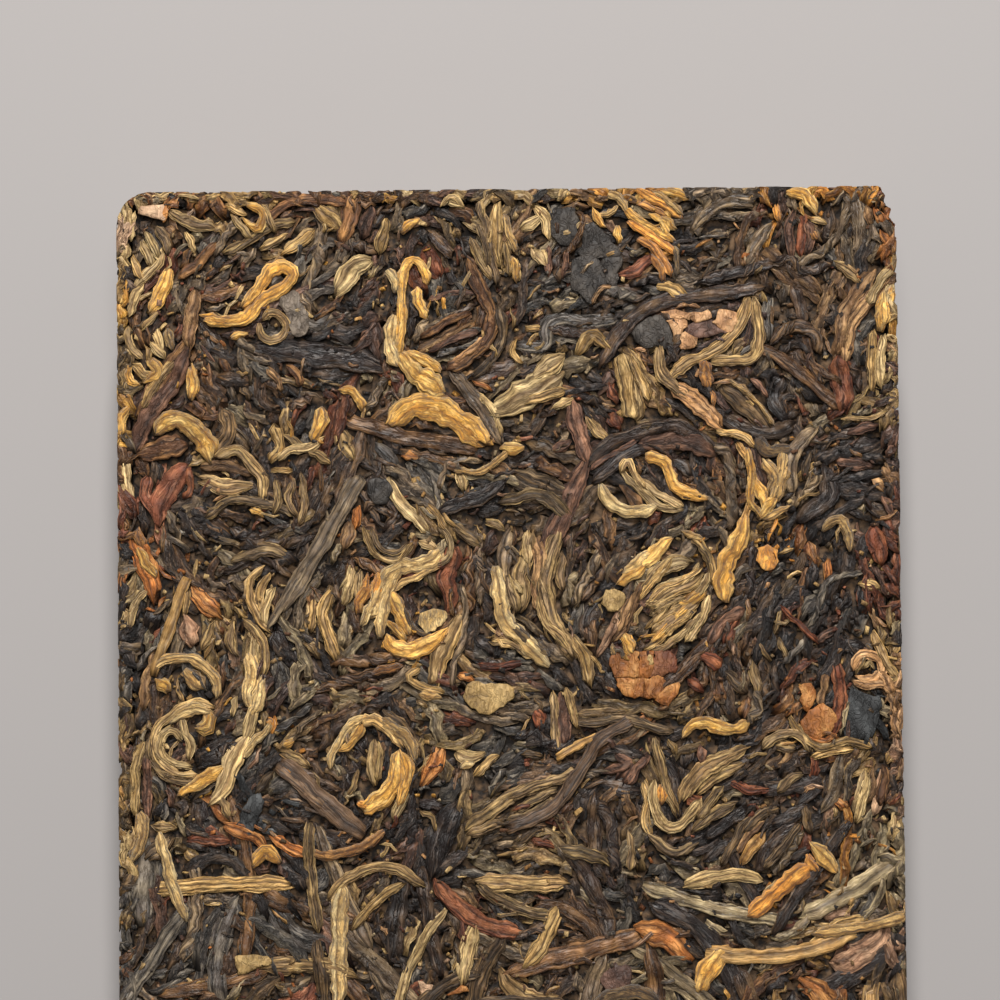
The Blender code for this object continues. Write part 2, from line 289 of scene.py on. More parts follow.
def smooth_line(points, step):
    """Evenly spaced stations on a smooth curve through points, and their reach along it."""
    p = np.array(points, float)
    p = np.vstack([2 * p[0] - p[1], p, 2 * p[-1] - p[-2]])
    t = np.linspace(0, 1, 12, endpoint=False)[:, None]
    runs = [0.5 * (2 * b + (c - a) * t + (2 * a - 5 * b + 4 * c - d) * t ** 2
                   + (3 * b - a - 3 * c + d) * t ** 3) for a, b, c, d in zip(p, p[1:], p[2:], p[3:])]
    line = np.vstack(runs + [p[-2:-1]])
    reach = np.concatenate([[0], np.cumsum(np.hypot(*np.diff(line, axis=0).T))])
    at = np.linspace(0, reach[-1], max(5, round(reach[-1] / step) + 1))
    return np.stack([np.interp(at, reach, line[:, k]) for k in (0, 1)], 1), at


def waves(s, rng, bumps, count):
    """Several smooth wanderings side by side: one column each, between about -1 and 1."""
    total = np.zeros((len(s), count))
    for share in (0.55, 0.3, 0.15):
        turns, starts = bumps * rng.uniform(0.4, 1.0, count), rng.random(count)
        total += share * np.sin(2 * np.pi * (turns * s[:, None] + starts))
        bumps *= 1.9
    return total


def wave(s, rng, bumps):
    """One smooth wandering, between about -1 and 1."""
    return waves(s, rng, bumps, 1)[:, 0]


BLANKS = {}


def leaf_blank(stations, around):
    """A plain closed tube cut into stations: its faces, and each point's station and column.

    The middle point of each end is its tip.  A tube of a size is made once and kept.
    """
    if (stations, around) not in BLANKS:
        bm = bmesh.new()
        bmesh.ops.create_cone(bm, cap_ends=True, cap_tris=True, segments=around,
                              radius1=1, radius2=1, depth=1)
        sides = [edge for edge in bm.edges if abs(edge.verts[0].co.z - edge.verts[1].co.z) > 0.5]
        bmesh.ops.subdivide_edges(bm, edges=sides, cuts=stations - 2)
        at = np.array([vert.co for vert in bm.verts])
        station = np.rint((at[:, 2] + 0.5) * (stations - 1)).astype(int)
        column = np.rint(np.arctan2(-at[:, 0], at[:, 1]) / (2 * math.pi) * around).astype(int) % around
        tip = np.hypot(at[:, 0], at[:, 1]) < 0.5
        faces = [[vert.index for vert in side.verts] for side in bm.faces]
        bm.free()
        BLANKS[stations, around] = (faces, station, column, tip)
    return BLANKS[stations, around]


def folds(ribs, rolled, fine, rng):
    """Columns round a leaf: angle, 0 in a groove to 1 on a rib, and the rib each is on."""
    span, total = (2 * math.pi, 2 * ribs - 1) if rolled else (math.pi, ribs)
    wide = rng.uniform(0.6, 1.4, total)
    starts = np.concatenate([[0], np.cumsum(wide / wide.sum())]) * span
    places, rise = ((0, 0.3, 0.7), (0, 1, 0.85)) if fine else ((0, 0.5), (0, 1))
    angle = (starts[:-1, None] + np.diff(starts)[:, None] * np.array(places)).ravel()
    crest, rib = np.tile(rise, total), np.repeat(np.arange(total), len(places))
    if not rolled:
        under = 3 if fine else 2
        angle = np.concatenate([angle, [math.pi], math.pi * (1 + np.arange(1, under + 1) / (under + 1))])
        crest, rib = np.append(crest, [0.0] + under * [0.6]), np.append(rib, (under + 1) * [total - 1])
    return angle, crest, rib


def lay_leaf(heap, wall, points, width, colours, rng, level=-0.3, depth=0.9, ribs=4, groove=0.34, twist=0.0,
             tips=(0.15, 0.15), wander=0.12, roll=12, ragged=0.12, curl=0.0, tear=0.35, step=0.52, fine=True,
             second=None, tuck=False):
    """Lays one leaf on a wall along points.  Sizes are in mm, twist in turns per mm, roll in degrees.

    depth is its thickness, groove how deep it is between its ribs and step the spacing of
    its stations.  wander bends its route, ragged and curl work its edges and tear its ends.
    A fine leaf has one more column to a rib, and some ribs lean to the second colours.  A
    tucked leaf keeps to its level, and any other is lifted over the leaves that it crosses.
    """
    line, at = smooth_line(points, step)
    count, length = len(line), at[-1]
    s = at / length
    ribs = max(2, ribs + rng.integers(-1, 2))
    groove, curl = groove * rng.uniform(0.5, 1.3), curl * rng.uniform(-0.3, 2.5)
    along = np.gradient(line, axis=0)
    along /= np.maximum(np.hypot(*along.T), 1e-9)[:, None]
    across = np.stack([-along[:, 1], along[:, 0]], 1)
    line = line + across * (wander * wave(s, rng, max(1.5, length / 5)))[:, None]
    line = np.clip(line, wall["margin"] - wall["half"], wall["half"] - wall["margin"])
    # how wide and thick it is along its length
    shut = rng.uniform(0.3, 1.5, 2) * width / length
    tips = tips + rng.uniform(-0.1, 0.4, 2)
    taper = np.minimum(1, tips[0] + (1 - tips[0]) * np.sqrt(np.clip(s / shut[0], 0, 1)))
    taper *= np.minimum(1, tips[1] + (1 - tips[1]) * np.sqrt(np.clip((1 - s) / shut[1], 0, 1)))
    bumps = max(2, length / 2.2)
    half = width / 2 * taper * (1 + 0.14 * wave(s, rng, bumps / 2))
    turn = np.abs(np.gradient(np.unwrap(np.arctan2(along[:, 1], along[:, 0])), at))
    half = np.minimum(half, 1.1 / np.maximum(turn, 1e-6) + 0.25)
    thick = np.minimum(depth, 0.8 * width) / 2 * taper ** 0.6
    # how high it lies: at its own level, or on the leaves that it crosses
    reach = np.array([-0.7, -0.35, 0, 0.35, 0.7])[None, :, None] * half[:, None, None]
    under = wall["height"][cells_at(wall, line[:, None, :] + across[:, None, :] * reach)]
    under = np.sort(under, axis=1)[:, -2]
    rise = np.maximum(level - thick, FAR_BELOW if tuck else under + 0.5 * thick)
    stiff = max(1, int(1.0 / step))
    rise = np.convolve(np.pad(rise, stiff, 'edge'), np.ones(2 * stiff + 1) / (2 * stiff + 1), 'valid')
    rise = np.minimum(rise, -0.05 - 0.65 * thick) + 0.09 * wave(s, rng, bumps)
    rise -= 0.3 * np.clip(1 - s / shut[0], 0, 1) ** 2 + 0.3 * np.clip(1 - (1 - s) / shut[1], 0, 1) ** 2
    disc = np.arange(-int(width / CELL), int(width / CELL) + 1) * CELL
    disc = np.stack(np.meshgrid(disc, disc), -1).reshape(-1, 2)
    far = np.hypot(*disc.T)[None, :] / half[:, None]
    tops = np.where(far < 1, rise[:, None] + thick[:, None] * (0.9 - 0.8 * far ** 2), FAR_BELOW)
    np.maximum.at(wall["height"], cells_at(wall, line[:, None, :] + disc[None]), tops)
    wall["lie"].append((line[count // 2], along[count // 2], width * length, colours))
    # its section: ribs between sharp grooves on the side that shows
    angle, crest, rib = folds(ribs, twist > 0, fine, rng)
    high = rib.max() + 1
    if twist > 0:
        drift = 2 * math.pi * (twist * at * rng.choice((-1, 1)) + 0.25 * wave(s, rng, 2.0) + rng.random())
    else:
        drift = 0.12 * wave(s, rng, max(1.0, length / 8))
    turned = angle[None, :] + drift[:, None] * (1.0 if twist > 0 else np.clip(np.sin(angle), 0, 1)[None, :])
    cos, sin = np.cos(turned), np.sin(turned)
    edges = waves(s, rng, bumps * 1.6, 2)
    wide = half[:, None] * (1 + ragged * np.where(cos > 0, edges[:, :1], edges[:, 1:]))
    deep = groove * np.clip(0.75 + 0.75 * waves(s, rng, bumps * 0.8, high)[:, rib], 0.1, 1.5)
    swell = 0.12 * waves(s, rng, bumps * 0.9, high)[:, rib] * crest - deep * (1 - crest)
    swell = np.maximum(swell, -0.8 * thick[:, None]) * taper[:, None] + rng.normal(0, 0.03, swell.shape)
    out_x = wide * np.sign(cos) * np.abs(cos) ** 0.8
    out_z = thick[:, None] * np.sign(sin) * np.abs(sin) ** 0.7
    lean_x, lean_z = cos * thick[:, None], sin * wide
    norm = np.maximum(np.hypot(lean_x, lean_z), 1e-6)
    out_x, out_z = out_x + swell * lean_x / norm, out_z + swell * lean_z / norm
    out_z += curl * np.abs(cos) ** 5 * (0.6 + 0.6 * edges[:, :1])
    lean = np.radians(roll * wave(s, rng, max(1.0, length / 9)))[:, None]
    shift = out_x * np.cos(lean) - out_z * np.sin(lean)
    up = rise[:, None] + out_x * np.sin(lean) + out_z * np.cos(lean)
    torn = rng.normal(0, tear, (2, high))[:, rib] * half.mean()
    slide = torn[0] * np.exp(-at / 0.5)[:, None] + torn[1] * np.exp((at - length) / 0.5)[:, None]
    ring = line[:, None, :] + across[:, None, :] * shift[..., None] + along[:, None, :] * slide[..., None]
    ring = np.concatenate([ring, up[..., None]], 2)
    ends = [np.append(line[k] + sense * 0.25 * half[k] * along[k], rise[k] - 0.1)
            for k, sense in ((0, -1), (-1, 1))]
    # its colours: painted shade darkens the grooves, the open leaf's edges and, less, its underside, and each
    # rib is paler or darker along its run
    shade = rng.normal(0.1, 0.35, high)[rib] + 0.7 * waves(s, rng, max(1.5, length / 3), high)[:, rib]
    first, body, top = colours
    if second is not None:
        other = (rng.random(high) < 0.3)[rib][None, :, None]
        body, top = (np.where(other, (a + b) / 2, a) for a, b in zip((body, top), second[1:]))
    tone = body + (top - body) * (0.65 * np.clip(shade, 0, 1))[..., None]
    tone = tone + (first - body) * (0.6 * np.clip(-shade, 0, 1))[..., None]
    # painted shade: each column is drawn toward the groove colour as far as it sits below its rib's crest
    tone = first + (tone - first) * np.clip(crest + 0.12, 0, 1)[None, :, None]
    tone = tone * np.exp(rng.normal(0, 0.2) + 0.14 * wave(s, rng, bumps))[:, None, None]
    streak = top * np.ones_like(tone)
    grain = np.stack(np.broadcast_arrays(angle * max(half.mean(), 0.3), at[:, None], rng.random() * 99), -1)
    faces, station, column, tip = leaf_blank(count, len(angle))
    local = ring[station, column]
    local[tip & (station == 0)], local[tip & (station > 0)] = ends
    heap["faces"] += [[heap["count"] + k for k in side] for side in faces]
    heap["points"].append(wall["origin"] + local @ wall["axes"])
    for key, rows in (("tone", tone), ("streak", streak), ("grain", grain)):
        heap[key].append(rows[station, column])
    heap["count"] += len(local)


def new_heap():
    """The points, faces and colours of the leaves that one piece is made of, none as yet."""
    return {"points": [], "faces": [], "tone": [], "streak": [], "grain": [], "count": 0}


def press_heap(heap, name, finish):
    """Presses a heap of laid leaves in the mould and makes it one piece of the brick."""
    points = press(np.vstack(heap["points"]))
    mesh = bpy.data.meshes.new(name)
    mesh.from_pydata((points * MM).tolist(), [], heap["faces"])
    for key in ("tone", "streak"):
        colour = mesh.color_attributes.new(key, 'FLOAT_COLOR', 'POINT')
        rows = np.vstack(heap[key])
        colour.data.foreach_set("color", np.hstack([rows, np.ones((len(rows), 1))]).ravel())
    grain = mesh.attributes.new("grain", 'FLOAT_VECTOR', 'POINT')
    grain.data.foreach_set("vector", np.vstack(heap["grain"]).ravel())
    mesh.materials.append(finish)
    mesh.shade_smooth()
    piece = bpy.data.objects.new(name, mesh)
    bpy.context.scene.collection.objects.link(piece)
    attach(piece, "root")
    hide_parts("tea_brick")


HAIR_MM, HAIR_RUN_MM = 0.11, 0.8
GRIT_PER_MM, BLOTCHES_PER_MM = 1.9, 0.62


def leaf_finish(name, fibre_mm, run_mm, streaks, crease_shade, depth_mm, rough, specular=0.5, sheen=0.0):
    """A dry leaf's surface: creased fibres along it with painted shade in the creases, fine hairs, paler
    streaks, grit and gloss.

    The fibres and hairs are measured in mm across and along the leaf, and so is the relief.
    """
    made, tree, shader = new_material(name)
    tone = add_node(tree, "ShaderNodeAttribute", attribute_name="tone")
    streak = add_node(tree, "ShaderNodeAttribute", attribute_name="streak")
    grain = add_node(tree, "ShaderNodeAttribute", attribute_name="grain")
    place = add_node(tree, "ShaderNodeTexCoord")

    def along_leaf(across_mm, along_mm, **ways):
        """Noise that is drawn out along the leaf, to a width and a length."""
        lined = add_node(tree, "ShaderNodeMapping", {"Vector": grain.outputs["Vector"],
                                                     "Scale": (1 / across_mm, 1 / along_mm, 1.0)})
        return add_node(tree, "ShaderNodeTexNoise", {"Vector": lined.outputs["Vector"], "Scale": 1.0, **ways})

    fibre = along_leaf(fibre_mm, run_mm, Detail=3.0, Roughness=0.65, Distortion=0.4)
    hairs = along_leaf(HAIR_MM, HAIR_RUN_MM, Detail=2.0, Roughness=0.6, Distortion=0.3)
    grit = add_node(tree, "ShaderNodeTexNoise", {"Vector": place.outputs["Object"],
                                                 "Scale": GRIT_PER_MM / MM, "Detail": 4.0, "Roughness": 0.75})
    off = add_node(tree, "ShaderNodeMath", {0: fibre.outputs["Fac"], 1: 0.5}, operation='SUBTRACT')
    off = add_node(tree, "ShaderNodeMath", {0: off.outputs["Value"]}, operation='ABSOLUTE')
    crease = add_node(tree, "ShaderNodeMapRange", {"Value": off.outputs["Value"], "From Max": 0.07})
    pale = add_node(tree, "ShaderNodeMapRange", {"Value": fibre.outputs["Fac"], "From Min": 0.55,
                                                 "From Max": 0.7, "To Max": streaks})
    # painted shade: the colour is darkened along the fine creases
    deep = add_node(tree, "ShaderNodeMapRange", {"Value": crease.outputs["Result"], "To Min": 1 - crease_shade})
    fine = add_node(tree, "ShaderNodeMapRange", {"Value": hairs.outputs["Fac"], "From Min": 0.33,
                                                 "From Max": 0.67, "To Min": 0.8, "To Max": 1.2})
    spots = add_node(tree, "ShaderNodeMapRange", {"Value": grit.outputs["Fac"], "From Min": 0.3,
                                                  "From Max": 0.7, "To Min": 0.84, "To Max": 1.16})
    dark = add_node(tree, "ShaderNodeMath", {0: deep.outputs["Result"], 1: spots.outputs["Result"]},
                    operation='MULTIPLY')
    dark = add_node(tree, "ShaderNodeMath", {0: dark.outputs["Value"], 1: fine.outputs["Result"]},
                    operation='MULTIPLY')
    blotch = add_node(tree, "ShaderNodeTexNoise", {"Vector": place.outputs["Object"],
                                                   "Scale": BLOTCHES_PER_MM / MM, "Detail": 2.0})
    blotch = add_node(tree, "ShaderNodeMapRange", {"Value": blotch.outputs["Fac"], "From Min": 0.32,
                                                   "From Max": 0.68, "To Min": 0.78, "To Max": 1.22})
    dark = add_node(tree, "ShaderNodeMath", {0: dark.outputs["Value"], 1: blotch.outputs["Result"]},
                    operation='MULTIPLY')
    mixed = add_node(tree, "ShaderNodeMix", {"Factor": pale.outputs["Result"], "A": tone.outputs["Color"],
                                             "B": streak.outputs["Color"]}, data_type='RGBA')
    shaded = add_node(tree, "ShaderNodeVectorMath", {0: mixed.outputs["Result"], 1: dark.outputs["Value"]},
                      operation='MULTIPLY')
    relief = add_node(tree, "ShaderNodeMath", {0: grit.outputs["Fac"], 1: 0.6,
                                               2: crease.outputs["Result"]}, operation='MULTIPLY_ADD')
    relief = add_node(tree, "ShaderNodeMath", {0: hairs.outputs["Fac"], 1: 0.9,
                                               2: relief.outputs["Value"]}, operation='MULTIPLY_ADD')
    bump = add_node(tree, "ShaderNodeBump", {"Height": relief.outputs["Value"], "Strength": 1.0,
                                             "Distance": depth_mm * MM})
    gloss = add_node(tree, "ShaderNodeMapRange", {"Value": grit.outputs["Fac"], "From Min": 0.35,
                                                  "From Max": 0.65, "To Min": rough - 0.1,
                                                  "To Max": rough + 0.12})
    tree.links.new(shaded.outputs["Vector"], shader.inputs["Base Color"])
    tree.links.new(bump.outputs["Normal"], shader.inputs["Normal"])
    tree.links.new(gloss.outputs["Result"], shader.inputs["Roughness"])
    shader.inputs["Specular IOR Level"].default_value = specular
    shader.inputs["Sheen Weight"].default_value = sheen
    return made


def palette(shades):
    """Named shades of leaf, each with its colours in the grooves (a painted shade, also used for darker
    patches), on the body and on the ribs.
    """
    return {shade: [linear(colour) for colour in colours.split()] for shade, colours in shades.items()}


def cutting_list(text):
    """Named pieces of the face, from lines of "name: shade sizes column,row column,row".

    The width and the places are in the picture's pixels, and the level is in mm.  A line that
    starts with two spaces runs on from the one before.
    """
    pieces = {}
    for line in text.replace("\n  ", " ").strip().splitlines():
        name, row = line.split(": ")
        shade, *fields = row.split()
        sizes = [float(field) for field in fields if "," not in field]
        places = [tuple(map(float, field.split(","))) for field in fields if "," in field]
        pieces[name] = (shade, *sizes, *places)
    return pieces


NARROW = 1.5
TRIES = 9


def lay_named(heap, leaves, colours, rng, wring=0.0, **ways):
    """Lays the leaves of a cutting list on the face: each has a width, a level and a route.

    Only the narrow ones are wrung, by some turns per mm.
    """
    for shade, width, level, *route in leaves.values():
        spots = [face_spot(*spot) for spot in route]
        wide = width / PX_PER_MM
        lay_leaf(heap, face, spots, wide, colours[shade], rng, level=level,
                 twist=wring if wide < NARROW else 0.0, **ways)


def strew(heap, wall, count, colours, rng, length, width, level, wring=0.0, **ways):
    """Lays more such leaves where a wall is barest: all over it, or on the face's near half."""
    half_u, half_v = wall["half"] - 0.8
    top = SHOWN_EDGE if wall is face else half_v
    shades = list(colours.values())
    for _ in range(count):
        spots = np.stack([rng.uniform(-half_u, half_u, TRIES), rng.uniform(-half_v, top, TRIES)], 1)
        near = spots[:, None, None] + np.stack(np.meshgrid((-1.5, 0, 1.5), (-1.5, 0, 1.5)), -1)[None]
        middle = spots[wall["height"][cells_at(wall, near)].mean((1, 2)).argmin()]
        angle = rng.normal(0, 0.6) if wall["upright"] else rng.uniform(0, math.pi)
        long, wide = rng.uniform(*length), rng.uniform(*width)
        turned = angle + rng.normal(0, 0.9) * np.linspace(-0.5, 0.5, 5)
        route = middle + np.cumsum(np.stack([np.cos(turned), np.sin(turned)], 1), 0) * long / 5
        route -= route.mean(0) - middle
        lay_leaf(heap, wall, route, wide, shades[rng.integers(len(shades))], rng, level=rng.uniform(*level),
                 twist=wring if wide < NARROW else 0.0, **ways)


ROLLED = palette({
    "dark": "1e1612 403027 8c6c4a",
    "black": "181210 2c2320 6c5540",
    "slate": "1a1715 534a43 aa9a82",
    "grey": "281e16 705c48 bea076",
    "umber": "24150c 5a3e28 ae8050",
    "ash": "382b1e 968060 dac292",
})
# long fine fibres and a dull gloss on nearly black leaf
rolled_leaf = leaf_finish("fired_rolled_leaf", fibre_mm=0.34, run_mm=3.0, streaks=0.35, crease_shade=0.2,
                          depth_mm=0.07, rough=0.38, specular=0.42)
NAMED_ROLLED = cutting_list("""
slate strip near the far edge: grey 10 -0.5 215,255 225,235 238,220
arc in the upper left: grey 12 -0.5 318,205 323,235 317,262 306,290 315,312
flat leaf under the loop: dark 20 -0.9 198,322 215,345 228,358
grey leaf right of the loop: grey 8 -0.5 297,290 306,306 310,324
short dark: dark 13 -0.6 345,240 362,247 376,252
grey tip by the hook: grey 11 -0.5 428,315 420,330 416,342
grey thread: grey 9 -0.6 422,332 445,318 473,308
dark thread: dark 9 -0.7 443,346 478,332
long strip one: dark 16 -0.15 602,364 618,335 640,313 665,301 697,295 740,291 764,285
long strip two: black 13 -0.3 698,281 736,272 774,262
long strip's hump: dark 11 -0.2 774,263 790,259 805,270 820,268 834,260
wavy strip: slate 15 -0.5 518,345 545,345 548,325 562,318 590,322 617,318
wavy strip's twin: dark 12 -0.6 550,327 575,332 605,330
thin dark: black 8 -0.6 548,282 525,283 508,288
flat dark: dark 20 -0.8 596,300 620,292 643,293
round leaf's rim: dark 10 -0.1 663,312 676,325 677,345 665,366
arch: grey 15 -0.3 692,230 709,210 730,201 757,201
grey and tan: grey 15 -0.5 747,264 755,245 772,223
wavy grey: grey 10 -0.3 849,190 845,215 838,235 822,252 798,263
wide grey: grey 22 -0.4 857,195 862,230 859,260
upright tube: dark 15 -0.4 794,286 800,305 804,322
grey flake: slate 18 -0.5 771,298 765,318 769,338
coil outside: dark 13 -0.2 772,344 782,330 800,326 814,334 820,352
coil inside: black 9 -0.4 782,354 792,344 806,347 810,356
slot: dark 9 -0.8 192,450 185,470 192,487
dark flat: dark 24 -0.9 244,416 250,435 260,455
wide leaf: black 26 -0.45 252,345 300,352 345,358 384,366
twisted grey: grey 11 -0.4 389,373 378,390 368,412
grey beside it: ash 13 -0.5 411,378 400,400 388,418
long olive-black: umber 18 -0.3 347,419 375,428 410,438 445,443 478,450
grey, striped: grey 15 -0.3 448,368 465,385 478,405 490,425 502,443
dark leaf: dark 21 -0.5 472,379 495,372 518,361
dark under it: black 11 -0.7 476,389 512,385
grey rim: grey 7 -0.3 439,492 444,467 456,460 482,462
dark with a pale rim: dark 15 -0.4 362,428 358,450 350,470 343,490 337,508
slate leaf: slate 15 -0.5 376,443 390,460 399,478
dark ring: dark 9 -0.4 364,512 372,501 388,502 393,516 384,532
thin grey arc: slate 6 -0.4 430,476 438,495 437,518
black twist: black 15 0 440,512 463,503 482,496 505,481
dark slope: dark 21 -0.8 336,468 325,490 311,524
great arc, outside: dark 15 -0.1 588,465 605,447 625,437 650,428 672,425 690,432 714,447
great arc, inside: black 14 0.1 594,482 612,465 635,451 648,448
loops: umber 12 -0.5 697,460 688,478 700,494
dark flake: black 24 -0.8 535,440 556,441
dark flake two: dark 30 -1 515,462 552,458
long diagonal: umber 14 -0.15 758,347 778,356 799,371 824,394 841,406
black ring: black 9 -0.3 800,403 790,396 780,404 787,415 799,411
leaf round the ring: black 19 -0.6 784,376 775,392 778,408 790,423
strip below the ring: black 17 -0.5 712,411 740,425 770,432 797,421
grey upright: grey 13 -0.4 714,441 727,455 731,480 732,510 730,528
slate bend: grey 17 -0.3 817,427 800,442 790,465 792,492
bulge: black 21 -0.2 826,464 830,490 822,503 808,513 797,521
grey over the bulge: grey 11 -0.5 795,505 812,487 824,473
two threads: black 12 -0.7 843,478 874,480
dark upright: dark 11 -0.6 854,358 860,392
grey thin diagonal: grey 6 -0.2 170,600 155,615 149,628
grey thin diagonal two: slate 6 -0.2 164,624 155,645 145,657 137,670
black patch beside them: black 24 -0.9 158,600 146,640
dark arc: dark 9 -0.4 223,573 245,563 260,558 275,565 292,577
grey arc: dark 7 -0.3 241,549 258,538 275,530 297,524
long dark: dark 13 -0.5 238,546 270,542 300,541 318,534
dark mass: black 22 -0.8 273,626 285,650 298,668
wavy pale edge: ash 8 -0.2 332,562 338,548 348,542 360,539
dark double: dark 12 -0.5 346,558 340,575 334,602
dark double two: umber 11 -0.5 352,558 346,590 336,618
dark swag: umber 11 -0.2 353,557 363,563 380,570 395,567 406,554 417,538
pale hook: ash 8 -0.2 431,562 440,549 447,539
grey long thread: grey 7 -0.1 463,585 466,615 462,640 455,660 452,688
dark upright strip: umber 12 -0.4 467,543 469,580 471,614
dark upright strip two: grey 10 -0.5 477,528 480,570 480,604
dark upright strip three: black 12 -0.6 490,556 489,590 487,624
dark leaf in the middle: grey 16 -0.5 512,530 504,556 508,580
dark slope low: dark 11 -0.6 464,648 480,660 500,663 523,666
dark level strip: umber 13 -0.4 327,664 360,661 390,657 417,655
dark level strip two: umber 12 -0.5 311,691 350,680 390,669 408,668
striped slate one: grey 11 -0.3 599,548 591,570 580,590 573,607
striped slate two: dark 10 -0.4 606,566 594,585 582,600
striped slate three: ash 12 -0.5 576,572 570,590 563,606
black leaf: black 28 -0.7 601,598 590,620 589,642
dark knee: ash 12 -0.4 637,595 644,575 655,566 668,563
dark low diagonal: umber 15 -0.3 714,636 692,662 672,680 655,692
dark low diagonal two: umber 13 -0.4 722,656 702,682 688,697
black low: black 22 -0.8 600,662 610,680 622,698
dark upright by the bud: black 11 -0.5 752,538 752,570 750,602
dark stub: black 13 -0.3 771,528 768,547
thin arc: slate 7 -0.05 862,572 840,576 828,582 822,595 818,610 809,627
inside the arc: black 26 -0.9 845,590 835,615
slate thread: slate 7 -0.2 806,639 795,652 784,664
grey flake at the right: black 22 -0.6 836,642 868,650
dark pair left: dark 11 -0.5 762,656 764,680 766,702
dark pair right: black 11 -0.5 775,660 776,685 774,704
wide slate leaf: black 30 -0.15 196,762 212,754 234,742
dark thread to the coil: slate 8 -0.2 312,704 297,717 283,727 270,737 261,752
pale dark thread: grey 7 -0.3 323,711 304,722 297,735
left thread: grey 7 -0.4 141,737 133,752 130,772
grey flat below: black 24 -0.7 199,796 203,832
dark level low: dark 13 -0.5 283,821 305,825 328,836
outer band: dark 11 -0.3 318,752 335,730 350,716 365,710 381,707
dark in the oval: black 13 -0.6 364,736 356,762 348,792
dark low upright: black 11 -0.6 410,786 412,820 412,848
dark bulge low: black 22 -0.4 420,803 442,806
grey-olive leaf: black 24 -0.2 458,804 446,825 438,850 432,880
curved slate: slate 8 -0.3 506,769 495,782 489,797
dark low arc: black 13 -0.5 512,735 535,735 550,745 562,759
slate upright low: black 13 -0.2 598,798 606,815 612,835 616,876
dark upright low: dark 15 -0.4 594,792 594,830 598,872
slate flake in the middle: black 24 -0.6 600,782 640,790
grey beside the U: black 13 -0.4 664,742 672,770 678,800 679,818
dark by the gold S: black 22 -0.7 689,740 685,768
grey bend: grey 15 -0.3 842,752 837,775 833,795 821,812
small grey ring: dark 8 -0.4 818,756 808,750 800,760 806,771 814,768
stripe one: black 14 -0.3 706,838 730,820 748,809
stripe two: black 14 -0.4 703,862 722,848 742,838
stripe three: dark 15 -0.2 757,872 775,842 798,822
stripe four: grey 10 -0.3 778,872 792,848 805,830
dark low right: black 15 -0.6 824,832 836,858
inside the arc, slate: slate 7 -0.4 440,346 462,334 483,328
inside the arc, slate two: slate 7 -0.35 436,356 462,347 483,338
inside the arc, dark: dark 8 -0.45 432,330 455,315 476,304
gold curve's dark end: grey 12 0 746,724 755,714 758,700 758,686
slate flake's pale edge: ash 4 -0.1 850,698 845,718 841,735
fold of the dark flake: umber 7 0 578,211 583,222 578,238 571,248 562,254
ridge of the dark flake: grey 3.5 0.05 572,281 582,272 595,259
flank of the dark flake: dark 9 -0.3 560,248 556,264 560,282
slate under the dark flake: slate 12 -0.25 604,292 620,292 638,300
dark by the hook: dark 14 -0.2 428,231 441,243 452,258
black beside the hook's stem: black 9 -0.35 412,288 413,310 409,336
dark at the right: black 15 -0.3 796,807 808,797 823,788
dark by the reddish leaf: dark 13 -0.2 251,508 264,500 278,494
dark at the left: dark 12 -0.2 138,741 142,755 150,768
umber by the middle stalk: black 14 -0.15 548,748 560,744 574,736
red thread: umber 5 -0.1 452,585 450,602 455,618
black under the knot: black 13 -0.3 580,394 591,400 603,402
dark at the pit: dark 12 -0.25 288,408 300,402 312,396
dark under the fan: black 11 -0.3 632,284 644,280 656,276
black by the tan rim: black 9 -0.15 668,341 672,353 678,364
black in the middle: black 14 0 614,748 630,753 645,757
black at the foot, right: black 17 -0.05 773,824 790,817 808,806
black in the left half: black 13 0.05 231,528 244,535 259,538
black under the arc: black 15 -0.3 672,460 684,467 693,479
black low, by the strip: black 20 -0.05 299,835 318,841 340,846
black beside the coil leaf: black 13 0.15 213,757 225,749 238,742
""")
rng = np.random.default_rng(7)
heap = new_heap()
rolled = dict(wring=0.07, ribs=3, groove=0.22, ragged=0.07, wander=0.1, curl=0.1)
lay_named(heap, NAMED_ROLLED, ROLLED, rng, **rolled)
strew(heap, face, 90, ROLLED, rng, length=(11, 24), width=(1.3, 2.6), level=(-0.8, -0.2), step=0.7, **rolled)
press_heap(heap, "rolled_leaves_face", rolled_leaf)
heap = new_heap()
strew(heap, base, 145, ROLLED, rng, length=(11, 24), width=(1.4, 2.8), level=(-0.6, -0.1), step=1.7,
      fine=False, ribs=3)
for wall in UPRIGHT:
    strew(heap, wall, round(wall["half"][0] * 1.25), ROLLED, rng, length=(11, 24), width=(1.3, 2.4),
          level=(-0.6, -0.1), step=1.7, fine=False, ribs=3)
press_heap(heap, "rolled_leaves_back", rolled_leaf)


# The brown leaf: coarser, older leaf that fired to brown, russet and rust, broken into
# short flat pieces.  It is matte, with a fine grain and few grooves.
BROWN = palette({
    "brown": "28160c 6a462c bc8850",
    "russet": "2a130a 743d25 b2724a",
    "brick": "35180d 93553a c88a64",
    "rust": "42200c af682f e3a764",
    "plum": "22140e 5a3e30 a27558",
    "pink": "40291b a0775a d8b08a",
    "hide": "3c2616 906a46 d2a670",
    "ochre": "5a3618 cf9a55 f0c88a",
    "apricot": "4a3020 c4905c e8ba88",
})
